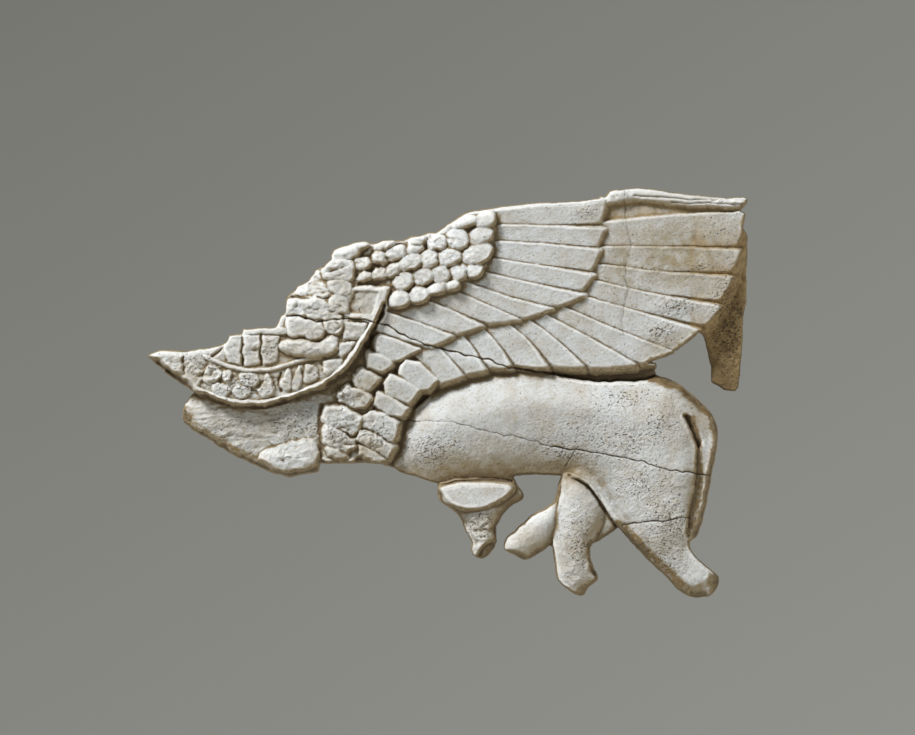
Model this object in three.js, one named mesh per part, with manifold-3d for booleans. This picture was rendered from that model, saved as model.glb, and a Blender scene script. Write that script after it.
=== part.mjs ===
// A winged sphinx striding to the left: a fragment of a carved ivory openwork plaque whose head,
// forelegs and paws are lost. Millimetres, +Z up. The flat back lies on the plane y = 0 and the
// carving faces -Y. The origin is the middle of the view, on the flat back, behind the wing.

import * as THREE from 'three';
import { mergeVertices } from 'three/addons/utils/BufferGeometryUtils.js';
import Module from 'manifold-3d';

const wasm = await Module();
wasm.setup();

// Depths of the carving, all measured forward from the flat back.
const GROUND_DEPTH = 2.6;
const WEB_DEPTH = 4.2;
const BURIED_DEPTH = 3.2;
const WING_CORE_DEPTH = 6.6;
const PRIMARY_DEPTH = 8.1;
const SECONDARY_DEPTH = 9.3;
const HOLLOW_DEPTH = 7.4;
const RAIL_DEPTH = 8.85;
const SHOULDER_DEPTH = 9.9;
const SCALE_RISE = 1.5;
const SCALE_SINK = 0.15;
const BODY_RIM_DEPTH = 4.8;
const BREAST_DEPTH = 9.0;
const BODY_DEPTH = 10.2;
const HAUNCH_DEPTH = 11.3;
const THIGH_DEPTH = 10.0;
const HOCK_DEPTH = 8.6;
const TAIL_RIM_DEPTH = 5.8;
const TAIL_DEPTH = 8.2;
const INNER_BREAST_DEPTH = 9.6;
const OUTER_BREAST_DEPTH = 8.7;
const COLLAR_DEPTH = 10.3;
const COLLAR_RELIEF_DEPTH = 11.2;
const COLLAR_RIM_DEPTH = 11.5;
const DROP_RIM_DEPTH = 10.65;
const NECK_RIM_DEPTH = 9.6;
const NECK_DEPTH = 11.2;
const CURL_RISE = 1.5;
const CURL_SINK = 0.5;
const LOCK_RIM_DEPTH = 11.5;
const LOCK_DEPTH = 12.5;
const CHEST_RIM_DEPTH = 5.6;
const CHEST_DEPTH = 8.4;
const CHEST_LUMP_RIM_DEPTH = 7.0;
const CHEST_LUMP_DEPTH = 9.2;
const STUB_RIM_DEPTH = 4.8;
const STUB_DEPTH = 9.2;
const LEFT_STUB_RIM_DEPTH = 4.2;
const LEFT_STUB_DEPTH = 7.6;
const LEG_WALL_DEPTH = 5.2;
const STEM_RIM_DEPTH = 3.6;
const STEM_DEPTH = 6.8;
const LIP_RIM_DEPTH = 7.0;
const LIP_DEPTH = 8.2;

// Feathers: each blade slopes down from a crest near its upper edge, which rises this far above the
// blade before it, out of a fine groove. Its root runs on under the row that covers it. The tip's
// bulge and corners are shares of the blade's width. The wing thins by so much for each millimetre
// towards its tip.
const FEATHER_STEP = 0.7;
const GROOVE_DEPTH = 0.15;
const CREST_WIDTH = 0.4;
const ROOT_COVER = 2.6;
const TIP_BULGE = 0.16;
const TIP_CORNER = 0.22;
const TIP_SLOPE = 0.7;
const BLADE_SECTIONS = 4;
const PRIMARY_THINNING = 0.012;
const SECONDARY_THINNING = 0.018;

// The distance between the points of a round outline, on the body, a limb and a small form.
const BODY_STEP = 3.8;
const LIMB_STEP = 2.6;
const SMALL_STEP = 1.8;

// How far the rings of a rounded form close in on its spine, as shares of the way.
const BODY_RINGS = [0.06, 0.16, 0.3, 0.5, 0.75, 0.92];
const LIMB_RINGS = [0.16, 0.4, 0.68];
const LOW_RINGS = [0.25, 0.6];

// A round stretch through a few landmarks, as [x, z] points about one step apart.
function smooth(points, step, closed = true) {
  const curve = new THREE.CatmullRomCurve3(
    points.map(([x, z]) => new THREE.Vector3(x, z, 0)), closed, 'centripetal');
  const count = Math.max(points.length, Math.round(curve.getLength() / step));
  const spots = curve.getSpacedPoints(count).map((p) => [p.x, p.y]);
  return closed ? spots.slice(0, -1) : spots;
}

// The closest spot to a point on a spine of [x, z, crown] points, with the crown there.
function nearestOn(spine, [x, z]) {
  const point = new THREE.Vector2(x, z);
  let best = null;
  for (let i = 0; i < spine.length - 1; i += 1) {
    const from = new THREE.Vector2(spine[i][0], spine[i][1]);
    const way = new THREE.Vector2(spine[i + 1][0], spine[i + 1][1]).sub(from);
    const along = THREE.MathUtils.clamp(point.clone().sub(from).dot(way) / way.lengthSq(), 0, 1);
    const spot = from.addScaledVector(way, along);
    const distance = spot.distanceTo(point);
    if (!best || distance < best.distance) {
      const crown = THREE.MathUtils.lerp(spine[i][2], spine[i + 1][2], along);
      best = { distance, x: spot.x, z: spot.y, crown };
    }
  }
  return best;
}

// A closed mesh becomes a solid that can be joined and cut.
function asSolid(geometry) {
  geometry.deleteAttribute('normal');
  geometry.deleteAttribute('uv');
  const merged = mergeVertices(geometry, 1e-5);
  return new wasm.Manifold(new wasm.Mesh({
    numProp: 3,
    vertProperties: new Float32Array(merged.attributes.position.array),
    triVerts: new Uint32Array(merged.index.array),
  }));
}

// A solid from rings of equal count, each a list of [x, z, depth]. Neighbouring rings are joined,
// and the two end rings are closed. Faces are turned outward whichever way the rings run.
function loft(rings, capOf) {
  const count = rings[0].length;
  const positions = rings.flat().flatMap(([x, z, depth]) => [x, -depth, z]);
  const last = (rings.length - 1) * count;
  let faces = capOf(rings[0]).map(([a, b, c]) => [c, b, a]);
  for (let low = 0; low < last; low += count) {
    for (let i = 0; i < count; i += 1) {
      const next = (i + 1) % count;
      const high = low + count;
      faces.push([low + i, low + next, high + next], [low + i, high + next, high + i]);
    }
  }
  faces.push(...capOf(rings.at(-1)).map((face) => face.map((corner) => corner + last)));
  const at = (index) => new THREE.Vector3().fromArray(positions, index * 3);
  const volume = faces.reduce((sum, [a, b, c]) => sum + at(a).dot(at(b).cross(at(c))), 0);
  if (volume < 0) {
    faces = faces.map(([a, b, c]) => [a, c, b]);
  }
  const geometry = new THREE.BufferGeometry();
  geometry.setAttribute('position', new THREE.Float32BufferAttribute(positions, 3));
  geometry.setIndex(faces.flat());
  return asSolid(geometry);
}

// Rings stacked from the back to the front, closed by caps that follow their outline.
function stack(rings) {
  const plan = rings[0].map(([x, z]) => new THREE.Vector2(x, z));
  const layers = THREE.ShapeUtils.isClockWise(plan)
    ? rings.map((ring) => [...ring].reverse())
    : rings;
  return loft(layers, (ring) => THREE.ShapeUtils.triangulateShape(
    ring.map(([x, z]) => new THREE.Vector2(x, z)), []));
}

// A flat plate between two depths.
function slab(outline, back, front) {
  return stack([back, front].map((depth) => outline.map(([x, z]) => [x, z, depth])));
}

// A rounded form: its walls stand to the rim, and from there its face swells to the crown that its
// spine states, while the rings close in on the spine.
function cushion(outline, spine, back, rim, pulls = LIMB_RINGS) {
  const layers = [back, rim].map((depth) => outline.map(([x, z]) => [x, z, depth]));
  for (const pull of pulls) {
    const swell = Math.sqrt(1 - (1 - pull) ** 2);
    layers.push(outline.map(([x, z]) => {
      const aim = nearestOn(spine, [x, z]);
      return [
        THREE.MathUtils.lerp(x, aim.x, pull),
        THREE.MathUtils.lerp(z, aim.z, pull),
        THREE.MathUtils.lerp(rim, aim.crown, swell),
      ];
    }));
  }
  return stack(layers);
}

// A block with softened edges, given by its middle, length, width and turn in degrees. Its walls
// lean out by the flare towards the ground.
function block([x, z], length, width, turn, front, flare = 0.4, edge = 0.45) {
  const angle = THREE.MathUtils.degToRad(turn);
  const ring = (inset, depth) => {
    const halfLength = length / 2 - inset;
    const halfWidth = width / 2 - inset;
    const corner = Math.min(halfLength, halfWidth) * 0.5;
    const spots = [
      [-halfLength, -halfWidth + corner], [-halfLength + corner, -halfWidth],
      [halfLength - corner, -halfWidth], [halfLength, -halfWidth + corner],
      [halfLength, halfWidth - corner], [halfLength - corner, halfWidth],
      [-halfLength + corner, halfWidth], [-halfLength, halfWidth - corner],
    ];
    return spots.map(([u, v]) => [
      x + u * Math.cos(angle) - v * Math.sin(angle),
      z + u * Math.sin(angle) + v * Math.cos(angle),
      depth,
    ]);
  };
  return stack([ring(-flare, BURIED_DEPTH), ring(0, front - edge), ring(edge, front)]);
}

// A rounded knob: half of it stands out of the surface that it sits on.
function knob([x, z], length, width, turn, depth, rise) {
  const ball = new THREE.SphereGeometry(1, 9, 5);
  ball.scale(length / 2, rise, width / 2);
  ball.rotateY(-THREE.MathUtils.degToRad(turn));
  ball.translate(x, -depth, z);
  return asSolid(ball);
}

// A raised strip of even width along a line of spots.
function strip(line, width, back, front, edge = 0.35) {
  const sides = [[], []];
  line.forEach(([x, z], i) => {
    const before = line[Math.max(i - 1, 0)];
    const after = line[Math.min(i + 1, line.length - 1)];
    const way = new THREE.Vector2(after[0] - before[0], after[1] - before[1]).normalize();
    sides[0].push([x - way.y, z + way.x, x, z]);
    sides[1].unshift([x + way.y, z - way.x, x, z]);
  });
  const ring = (half, depth) => [...sides[0], ...sides[1]].map(([ox, oz, x, z]) => [
    x + (ox - x) * half, z + (oz - z) * half, depth,
  ]);
  return stack([ring(width / 2, back), ring(width / 2, front - edge), ring(width / 2 - edge, front)]);
}

// One row of the wing. Every feather is given by four landmarks: the root and bend of its lower
// edge, the heel where that edge ends, and the toe where its upper edge ends. The upper edge
// follows the lower edge of the feather before it. Where the tips lie over other carving their end
// walls lean out by the slope.
function featherRow(first, feathers, depthAt, back, slopeOf) {
  const edgeOf = ([root, bend, end]) => {
    const cover = new THREE.Vector2(root[0] - bend[0], root[1] - bend[1]).setLength(ROOT_COVER);
    const start = [root[0] + cover.x, root[1] + cover.y];
    const curve = new THREE.SplineCurve(
      [start, root, bend, end].map(([x, z]) => new THREE.Vector2(x, z)));
    return curve.getSpacedPoints(BLADE_SECTIONS);
  };
  let upper = first;
  return feathers.map((feather, index) => {
    const [root, bend, heel, toe] = feather;
    const top = edgeOf([...upper, toe]);
    const low = edgeOf([root, bend, heel]);
    upper = [root, bend];
    const along = top.at(-1).clone().sub(top.at(-2)).normalize();
    const across = low.at(-1).clone().sub(top.at(-1));
    const bulge = across.length() * TIP_BULGE;
    top.push(top.at(-1).clone().addScaledVector(across, TIP_CORNER).addScaledVector(along, bulge));
    low.push(low.at(-1).clone().addScaledVector(across, -TIP_CORNER).addScaledVector(along, bulge));
    const rings = top.map((over, i) => {
      const under = low[i];
      const lean = i < BLADE_SECTIONS ? 0 : slopeOf(index);
      const depth = depthAt((over.x + under.x) / 2);
      const crest = over.clone().lerp(under, CREST_WIDTH / over.distanceTo(under));
      return [
        [under.x + along.x * lean, under.y + along.y * lean, back],
        [over.x + along.x * lean, over.y + along.y * lean, back],
        [over.x, over.y, depth - GROOVE_DEPTH],
        [crest.x, crest.y, depth + FEATHER_STEP],
        [under.x, under.y, depth],
      ];
    });
    return loft(rings, () => [[0, 1, 2], [0, 2, 3], [0, 3, 4]]);
  });
}

// The outer row of long feathers, from the top of the wing down and round to the chest.
const PRIMARY_TOP = [[31.9, 31.5], [46.8, 33.0]];
const PRIMARIES = [
  [[31.9, 26.2], [45.7, 26.1], [59.7, 26.0], [61.6, 33.6]],
  [[30.6, 22.4], [44.6, 20.7], [58.6, 20.4], [60.7, 25.5]],
  [[29.3, 19.0], [42.5, 16.0], [56.2, 14.3], [59.0, 19.7]],
  [[26.3, 15.8], [39.2, 12.1], [52.8, 8.9], [56.7, 13.4]],
  [[22.5, 13.4], [34.5, 8.3], [46.5, 3.5], [52.1, 8.3]],
  [[18.8, 11.7], [28.5, 6.6], [38.6, 1.0], [46.8, 3.5]],
  [[14.9, 10.9], [21.6, 5.9], [28.0, 0.2], [37.1, 0.5]],
  [[10.6, 10.0], [15.6, 5.7], [20.0, 0.7], [27.4, 0.3]],
  [[4.8, 9.4], [8.7, 5.3], [12.1, 0.9], [19.5, 0.3]],
  [[0.5, 7.8], [3.1, 4.8], [6.4, 0.4], [11.8, 0.3]],
  [[-4.6, 5.1], [-2.0, 2.5], [1.4, -1.1], [6.2, -0.4]],
  [[-9.8, 2.9], [-7.0, 0.1], [-4.1, -3.2], [1.3, -1.5]],
  [[-14.1, 0.3], [-11.5, -2.0], [-7.6, -5.6], [-4.2, -3.6]],
];

// The inner row, which lies over the roots of the outer one.
const SECONDARY_TOP = [[9.1, 34.1], [21.0, 35.4]];
const SECONDARIES = [
  [[8.3, 30.9], [19.9, 30.6], [30.2, 30.9], [31.7, 36.4]],
  [[7.8, 27.4], [18.8, 26.7], [29.6, 25.8], [31.5, 30.0]],
  [[7.0, 23.8], [17.7, 22.1], [28.3, 20.7], [30.6, 25.5]],
  [[5.7, 20.7], [15.6, 18.4], [26.3, 16.4], [29.3, 20.1]],
  [[1.8, 18.6], [10.9, 15.4], [20.5, 13.0], [27.4, 15.8]],
  [[1.0, 16.0], [7.0, 13.4], [13.4, 10.6], [20.5, 12.8]],
  [[-6.3, 14.5], [-0.5, 12.1], [5.7, 9.6], [13.4, 10.5]],
  [[-13.9, 11.7], [-7.6, 9.5], [-1.0, 7.2], [5.5, 9.1]],
  [[-16.0, 7.4], [-11.3, 5.6], [-6.1, 4.4], [-1.0, 7.0]],
];

function wing() {
  const topEdge = [
    [-22.7, 26.6], [-16.7, 26.9], [-11.5, 27.5], [-8.1, 28.4], [-4.6, 29.1], [-1.6, 31.3],
    [1.2, 33.2], [6.3, 34.2], [16.7, 35.4], [26.3, 35.9], [32.1, 36.6], [33.0, 37.7],
    [39.2, 38.5], [46.1, 37.5], [53.2, 36.8], [62.2, 36.2],
  ];
  const rightEdge = [
    [61.2, 34.7], [60.5, 27.8], [58.6, 26.3], [59.0, 22.7], [57.3, 20.7], [57.2, 17.1],
    [54.9, 14.5], [52.6, 10.0], [50.0, 8.5], [46.8, 5.3], [43.1, 2.9],
  ];
  const lowEdge = [
    [38.0, 1.9], [28.9, 0.9], [20.3, 1.1], [11.3, 1.2], [2.7, 0.2], [-3.8, -2.0],
    [-8.5, -4.4], [-12.1, -7.2], [-13.0, -11.3], [-13.8, -16.4], [-15.4, -20.5],
  ];
  const hidden = [[-28.3, -19.0], [-28.5, -8.1], [-24.2, -1.6], [-22.7, 14.5]];
  const core = slab([...topEdge, ...rightEdge, ...lowEdge, ...hidden], 0, WING_CORE_DEPTH);

  const primaryDepth = (x) => PRIMARY_DEPTH - PRIMARY_THINNING * Math.max(x, 0);
  const secondaryDepth = (x) => SECONDARY_DEPTH - SECONDARY_THINNING * Math.max(x, 0);

  // The long feathers that end in the open have upright ends, the ones over the body lean out.
  const openFeathers = 6;
  const primarySlope = (index) => (index < openFeathers ? 0 : TIP_SLOPE);

  // The leading edge is a bright rail over a hollow band that narrows towards the tip.
  const hollow = slab(
    [[30.5, 37.0], [61.2, 35.4], [61.2, 33.8], [46.8, 32.9], [30.5, 31.4]],
    BURIED_DEPTH, HOLLOW_DEPTH);
  const rail = slab([
    [32.0, 36.6], [33.1, 38.0], [39.3, 38.8], [46.2, 37.8], [53.3, 37.1], [62.6, 36.5],
    [61.8, 34.6], [54.0, 34.4], [43.5, 35.3], [38.2, 35.9], [31.2, 34.9],
  ], BURIED_DEPTH, RAIL_DEPTH);

  return [
    core, hollow, rail,
    ...featherRow(PRIMARY_TOP, PRIMARIES, primaryDepth, GROUND_DEPTH, primarySlope),
    ...featherRow(SECONDARY_TOP, SECONDARIES, secondaryDepth, BURIED_DEPTH, () => TIP_SLOPE),
  ];
}

// The rows of small round scales over the shoulder, from the top of the wing down.
const SCALE_ROWS = [
  { spots: [[1.0, 31.3], [5.7, 31.9]], length: 4.6, width: 3.2, turn: 20 },
  {
    spots: [[-17.7, 25.9], [-13.4, 25.3], [-9.4, 25.7], [-4.4, 27.2], [0.1, 27.8], [5.1, 28.5]],
    length: 4.7, width: 3.5, turn: 15,
  },
  {
    spots: [
      [-20.7, 22.5], [-17.1, 22.7], [-14.1, 22.0], [-10.4, 23.1], [-5.9, 23.8], [-2.0, 24.0],
      [3.5, 24.6],
    ],
    length: 4.5, width: 3.6, turn: 8,
  },
  {
    spots: [[-15.6, 18.6], [-11.9, 18.8], [-8.1, 20.1], [-3.5, 21.0], [0.1, 21.2], [3.3, 21.4]],
    length: 4.1, width: 3.6, turn: 12,
  },
  {
    spots: [[-12.8, 15.2], [-8.5, 16.2], [-4.4, 17.1], [-0.5, 18.0]],
    length: 4.2, width: 3.2, turn: 15,
  },
];

function shoulder() {
  const patch = [
    [-23.4, 26.2], [-16.7, 26.7], [-8.1, 28.2], [-4.6, 28.9], [-1.6, 31.0], [1.2, 33.0],
    [6.3, 34.0], [8.4, 33.6], [8.4, 30.8], [7.6, 26.8], [6.1, 22.2], [4.2, 19.4], [1.0, 18.4],
    [-0.6, 16.4], [-3.4, 15.4], [-7.2, 14.6], [-11.0, 14.0], [-14.6, 12.8], [-24.0, 12.0],
  ];
  const solids = [slab(patch, BURIED_DEPTH, SHOULDER_DEPTH)];
  for (const { spots, length, width, turn } of SCALE_ROWS) {
    for (const spot of spots) {
      solids.push(knob(spot, length, width, turn, SHOULDER_DEPTH - SCALE_SINK, SCALE_RISE));
    }
  }
  return solids;
}

// Short feathers of the breast, in two columns beside the collar.
const INNER_BREAST = [
  { spot: [-12.6, 4.2], length: 9.6, width: 3.8, turn: -4 },
  { spot: [-16.5, 1.0], length: 6.0, width: 3.7, turn: -14 },
  { spot: [-19.5, -2.9], length: 5.8, width: 4.1, turn: -10 },
  { spot: [-22.0, -6.7], length: 6.9, width: 3.7, turn: -8 },
  { spot: [-24.2, -11.3], length: 7.3, width: 4.3, turn: -18 },
  { spot: [-25.5, -15.2], length: 6.9, width: 3.1, turn: -26 },
  { spot: [-25.9, -18.2], length: 4.5, width: 2.3, turn: -12 },
];
const OUTER_BREAST = [
  { spot: [-11.5, -4.8], length: 7.3, width: 4.5, turn: -38 },
  { spot: [-14.5, -8.1], length: 7.7, width: 3.8, turn: -24 },
  { spot: [-16.4, -12.8], length: 7.7, width: 4.5, turn: -22 },
  { spot: [-17.5, -15.7], length: 8.4, width: 2.2, turn: -24 },
  { spot: [-17.7, -17.5], length: 7.2, width: 1.6, turn: -22 },
  { spot: [-18.4, -19.0], length: 6.0, width: 1.6, turn: -22 },
];

function breastFeathers() {
  const row = (feathers, front) => feathers.map(
    ({ spot, length, width, turn }) => block(spot, length, width, turn, front));
  return [
    ...row(INNER_BREAST, INNER_BREAST_DEPTH),
    ...row(OUTER_BREAST, OUTER_BREAST_DEPTH),
  ];
}

// The striding body with its haunch and near hind leg, one swelling form whose belly turns away
// below, and the ground that is left behind it, under the wing.
function body() {
  const outline = smooth([
    [-12.8, -21.8], [-11.3, -15.2], [-9.8, -11.7], [-7.0, -8.7], [-3.8, -6.1], [0.5, -4.0],
    [7.0, -1.8], [15.6, -1.0], [24.2, -2.1], [32.8, -2.9], [41.4, -2.3], [43.8, -2.0],
    [47.4, -3.3], [50.4, -5.6], [51.6, -8.0], [51.2, -12.4], [51.8, -17.7], [51.9, -23.1],
    [51.3, -28.5], [50.3, -33.9], [49.9, -38.2], [51.7, -41.0], [54.5, -43.4], [56.3, -45.0],
    [56.0, -47.8], [53.9, -49.5], [50.4, -49.6], [47.4, -47.8], [44.6, -44.8], [41.4, -42.0],
    [38.4, -38.8], [34.8, -34.8], [32.8, -31.9], [30.2, -27.8], [28.1, -25.3], [25.3, -23.8],
    [17.7, -23.2], [11.9, -23.5], [7.0, -24.6], [-0.5, -24.8], [-4.6, -25.0], [-9.1, -23.5],
  ], BODY_STEP);
  const spine = [
    [-4.0, -15.0, BREAST_DEPTH], [14.0, -12.5, BODY_DEPTH], [30.0, -12.5, BODY_DEPTH],
    [41.0, -14.0, HAUNCH_DEPTH], [45.0, -24.0, HAUNCH_DEPTH],
    [48.0, -34.0, THIGH_DEPTH], [53.0, -46.0, HOCK_DEPTH],
  ];
  const ground = [
    [-16.5, -21.0], [-9.0, -23.0], [20.0, -20.0], [46.0, -8.0], [46.9, -3.5], [43.0, -1.0],
    [42.9, 1.2], [9.1, 0.9], [-4.0, -1.6], [-12.0, -7.0],
  ];
  return [
    cushion(outline, spine, 0, BODY_RIM_DEPTH, BODY_RINGS),
    slab(ground, 0, WEB_DEPTH),
  ];
}

// The tail starts at the rump and hangs close behind the haunch.
function tail() {
  const outline = smooth([
    [49.2, -4.6], [52.8, -7.3], [55.0, -10.0], [56.2, -13.4], [56.0, -16.7], [54.9, -23.1],
    [53.8, -29.6], [52.4, -34.1], [51.2, -36.0], [50.4, -34.4], [51.2, -29.6], [52.0, -22.0],
    [52.0, -15.6], [50.6, -11.0], [48.6, -7.6],
  ], LIMB_STEP);
  const spine = [
    [51.4, -7.8, TAIL_DEPTH], [53.9, -12.6, TAIL_DEPTH], [54.0, -17.0, TAIL_DEPTH],
    [53.0, -25.0, TAIL_DEPTH], [51.4, -33.6, TAIL_DEPTH],
  ];
  return [cushion(outline, spine, 0, TAIL_RIM_DEPTH, LOW_RINGS)];
}

// What is left of the two far legs, broken off below the belly, and the wall that joins them.
function farLegs() {
  const middle = smooth([
    [23.2, -22.6], [28.5, -25.0], [31.4, -29.6], [31.5, -33.2], [29.1, -38.2], [28.7, -41.2],
    [30.4, -45.4], [28.5, -47.4], [26.8, -49.3], [23.8, -47.8], [21.5, -45.7], [21.1, -42.5],
    [20.5, -39.2], [21.0, -33.9], [22.0, -27.8],
  ], LIMB_STEP);
  const left = smooth([
    [22.0, -28.6], [18.8, -30.4], [15.8, -32.0], [12.8, -34.7], [10.4, -37.1], [10.1, -39.2],
    [12.4, -40.6], [14.7, -41.6], [17.7, -40.1], [20.0, -38.2], [22.4, -34.9],
  ], LIMB_STEP);
  const wall = [
    [20.6, -30.4], [23.4, -22.0], [28.5, -24.4], [34.8, -33.6], [34.5, -34.7], [31.5, -36.8],
    [29.1, -38.0], [22.0, -39.2], [19.7, -38.0],
  ];
  const middleSpine = [
    [26.2, -29.0, STUB_DEPTH], [25.4, -38.0, STUB_DEPTH], [26.2, -44.6, STUB_DEPTH],
  ];
  const leftSpine = [[20.0, -33.0, LEFT_STUB_DEPTH], [13.4, -38.0, LEFT_STUB_DEPTH]];
  return [
    cushion(middle, middleSpine, 0, STUB_RIM_DEPTH),
    cushion(left, leftSpine, 0, LEFT_STUB_RIM_DEPTH),
    slab(wall, 0, LEG_WALL_DEPTH),
  ];
}

// The flower under the belly: a flat lens-shaped lip over a stem that narrows to a break.
function flower() {
  const stem = smooth([
    [-3.9, -24.6], [-4.3, -26.8], [-3.8, -28.7], [-1.4, -30.6], [0.2, -32.0], [1.4, -34.7],
    [2.8, -37.7], [3.2, -40.3], [4.6, -41.2], [7.0, -40.2], [8.5, -37.7], [8.3, -35.6],
    [9.4, -32.4], [11.7, -30.0], [14.4, -28.0], [13.0, -25.4], [11.6, -23.4], [2.7, -23.8],
  ], LIMB_STEP);
  const lip = smooth([
    [-3.9, -28.5], [-2.6, -26.9], [-0.1, -26.1], [4.8, -25.8], [9.4, -25.7], [11.3, -26.1],
    [9.6, -28.4], [7.0, -29.6], [3.8, -30.3], [0.5, -30.0],
  ], LIMB_STEP);
  const stemSpine = [[3.0, -28.0, STEM_DEPTH], [6.0, -32.0, STEM_DEPTH], [5.6, -38.5, STEM_DEPTH]];
  const lipSpine = [[0.0, -28.2, LIP_DEPTH], [8.0, -27.6, LIP_DEPTH]];
  return [
    cushion(stem, stemSpine, 0, STEM_RIM_DEPTH),
    cushion(lip, lipSpine, BURIED_DEPTH, LIP_RIM_DEPTH, LOW_RINGS),
  ];
}

// The lap of the chest under the collar, rough where it broke away.
function chest() {
  const outline = [
    [-57.6, -6.2], [-59.0, -7.6], [-59.4, -10.2], [-59.0, -11.9], [-57.5, -13.5], [-53.2, -16.0],
    [-48.9, -18.6], [-44.6, -20.7], [-41.4, -22.3], [-36.2, -23.8], [-33.9, -23.2],
    [-30.0, -22.5], [-29.1, -21.0], [-24.2, -21.4], [-17.7, -21.2], [-13.9, -22.2],
    [-13.4, -17.7], [-16.7, -6.0], [-25.3, -1.0], [-33.9, -4.4], [-44.6, -7.0], [-54.3, -5.4],
  ];
  const lump = smooth([
    [-43.0, -21.2], [-42.0, -18.2], [-39.2, -16.9], [-34.9, -15.8], [-30.4, -15.6],
    [-29.5, -18.8], [-29.7, -21.2], [-34.0, -22.4], [-39.0, -22.6],
  ], LIMB_STEP);
  const spine = [[-50.0, -10.4, CHEST_DEPTH], [-24.0, -12.4, CHEST_DEPTH]];
  const lumpSpine = [[-38.6, -19.4, CHEST_LUMP_DEPTH], [-32.0, -18.6, CHEST_LUMP_DEPTH]];
  return [
    cushion(outline, spine, 0, CHEST_RIM_DEPTH),
    cushion(lump, lumpSpine, BURIED_DEPTH, CHEST_LUMP_RIM_DEPTH, LOW_RINGS),
  ];
}

// The broad collar: a crescent plate with a raised rim, a ridge, and a row of drops between.
const COLLAR_RIM = [
  [-58.6, -3.2], [-55.4, -5.3], [-51.1, -7.0], [-45.7, -7.9], [-40.7, -7.6], [-36.0, -6.3],
  [-31.7, -4.7], [-27.8, -2.7], [-24.4, 0.1], [-21.8, 3.3], [-19.6, 7.2], [-17.6, 10.4],
  [-16.3, 14.1], [-15.5, 16.8],
];
const COLLAR_RIDGE = [
  [-54.3, 2.3], [-50.6, 0.8], [-46.1, -0.4], [-42.5, -0.5], [-39.2, -0.1], [-34.9, 1.1],
  [-31.3, 1.8], [-27.4, 2.0],
];
const DROP_ROW = [
  [-58.0, -1.2], [-53.2, -3.9], [-49.3, -4.7], [-45.3, -4.8], [-41.0, -4.1], [-36.2, -2.8],
  [-31.9, -1.4], [-28.1, 0.5], [-25.0, 2.9],
];
const COLLAR_RIM_WIDTH = 1.7;
const COLLAR_RIDGE_WIDTH = 1.2;
const DROP_COUNT = 9;
const DROP_LENGTH = 4.8;
const DROP_WIDTH = 3.5;

// A drop with its point towards the ridge and its round end towards the rim.
function drop(middle, away) {
  const side = new THREE.Vector2(-away.y, away.x);
  const spot = (along, across) => {
    const point = middle.clone().addScaledVector(away, along).addScaledVector(side, across);
    return [point.x, point.y];
  };
  const round = DROP_WIDTH / 2;
  const outline = [spot(-DROP_LENGTH / 2, 0)];
  for (let degrees = -100; degrees <= 100; degrees += 40) {
    const angle = THREE.MathUtils.degToRad(degrees);
    const along = DROP_LENGTH / 2 - round + round * Math.cos(angle);
    outline.push(spot(along, round * Math.sin(angle)));
  }
  const ends = [spot(-DROP_LENGTH / 5, 0), spot(DROP_LENGTH / 2 - round, 0)];
  const spine = ends.map(([x, z]) => [x, z, COLLAR_RELIEF_DEPTH]);
  return cushion(outline, spine, BURIED_DEPTH, DROP_RIM_DEPTH, LOW_RINGS);
}

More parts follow.
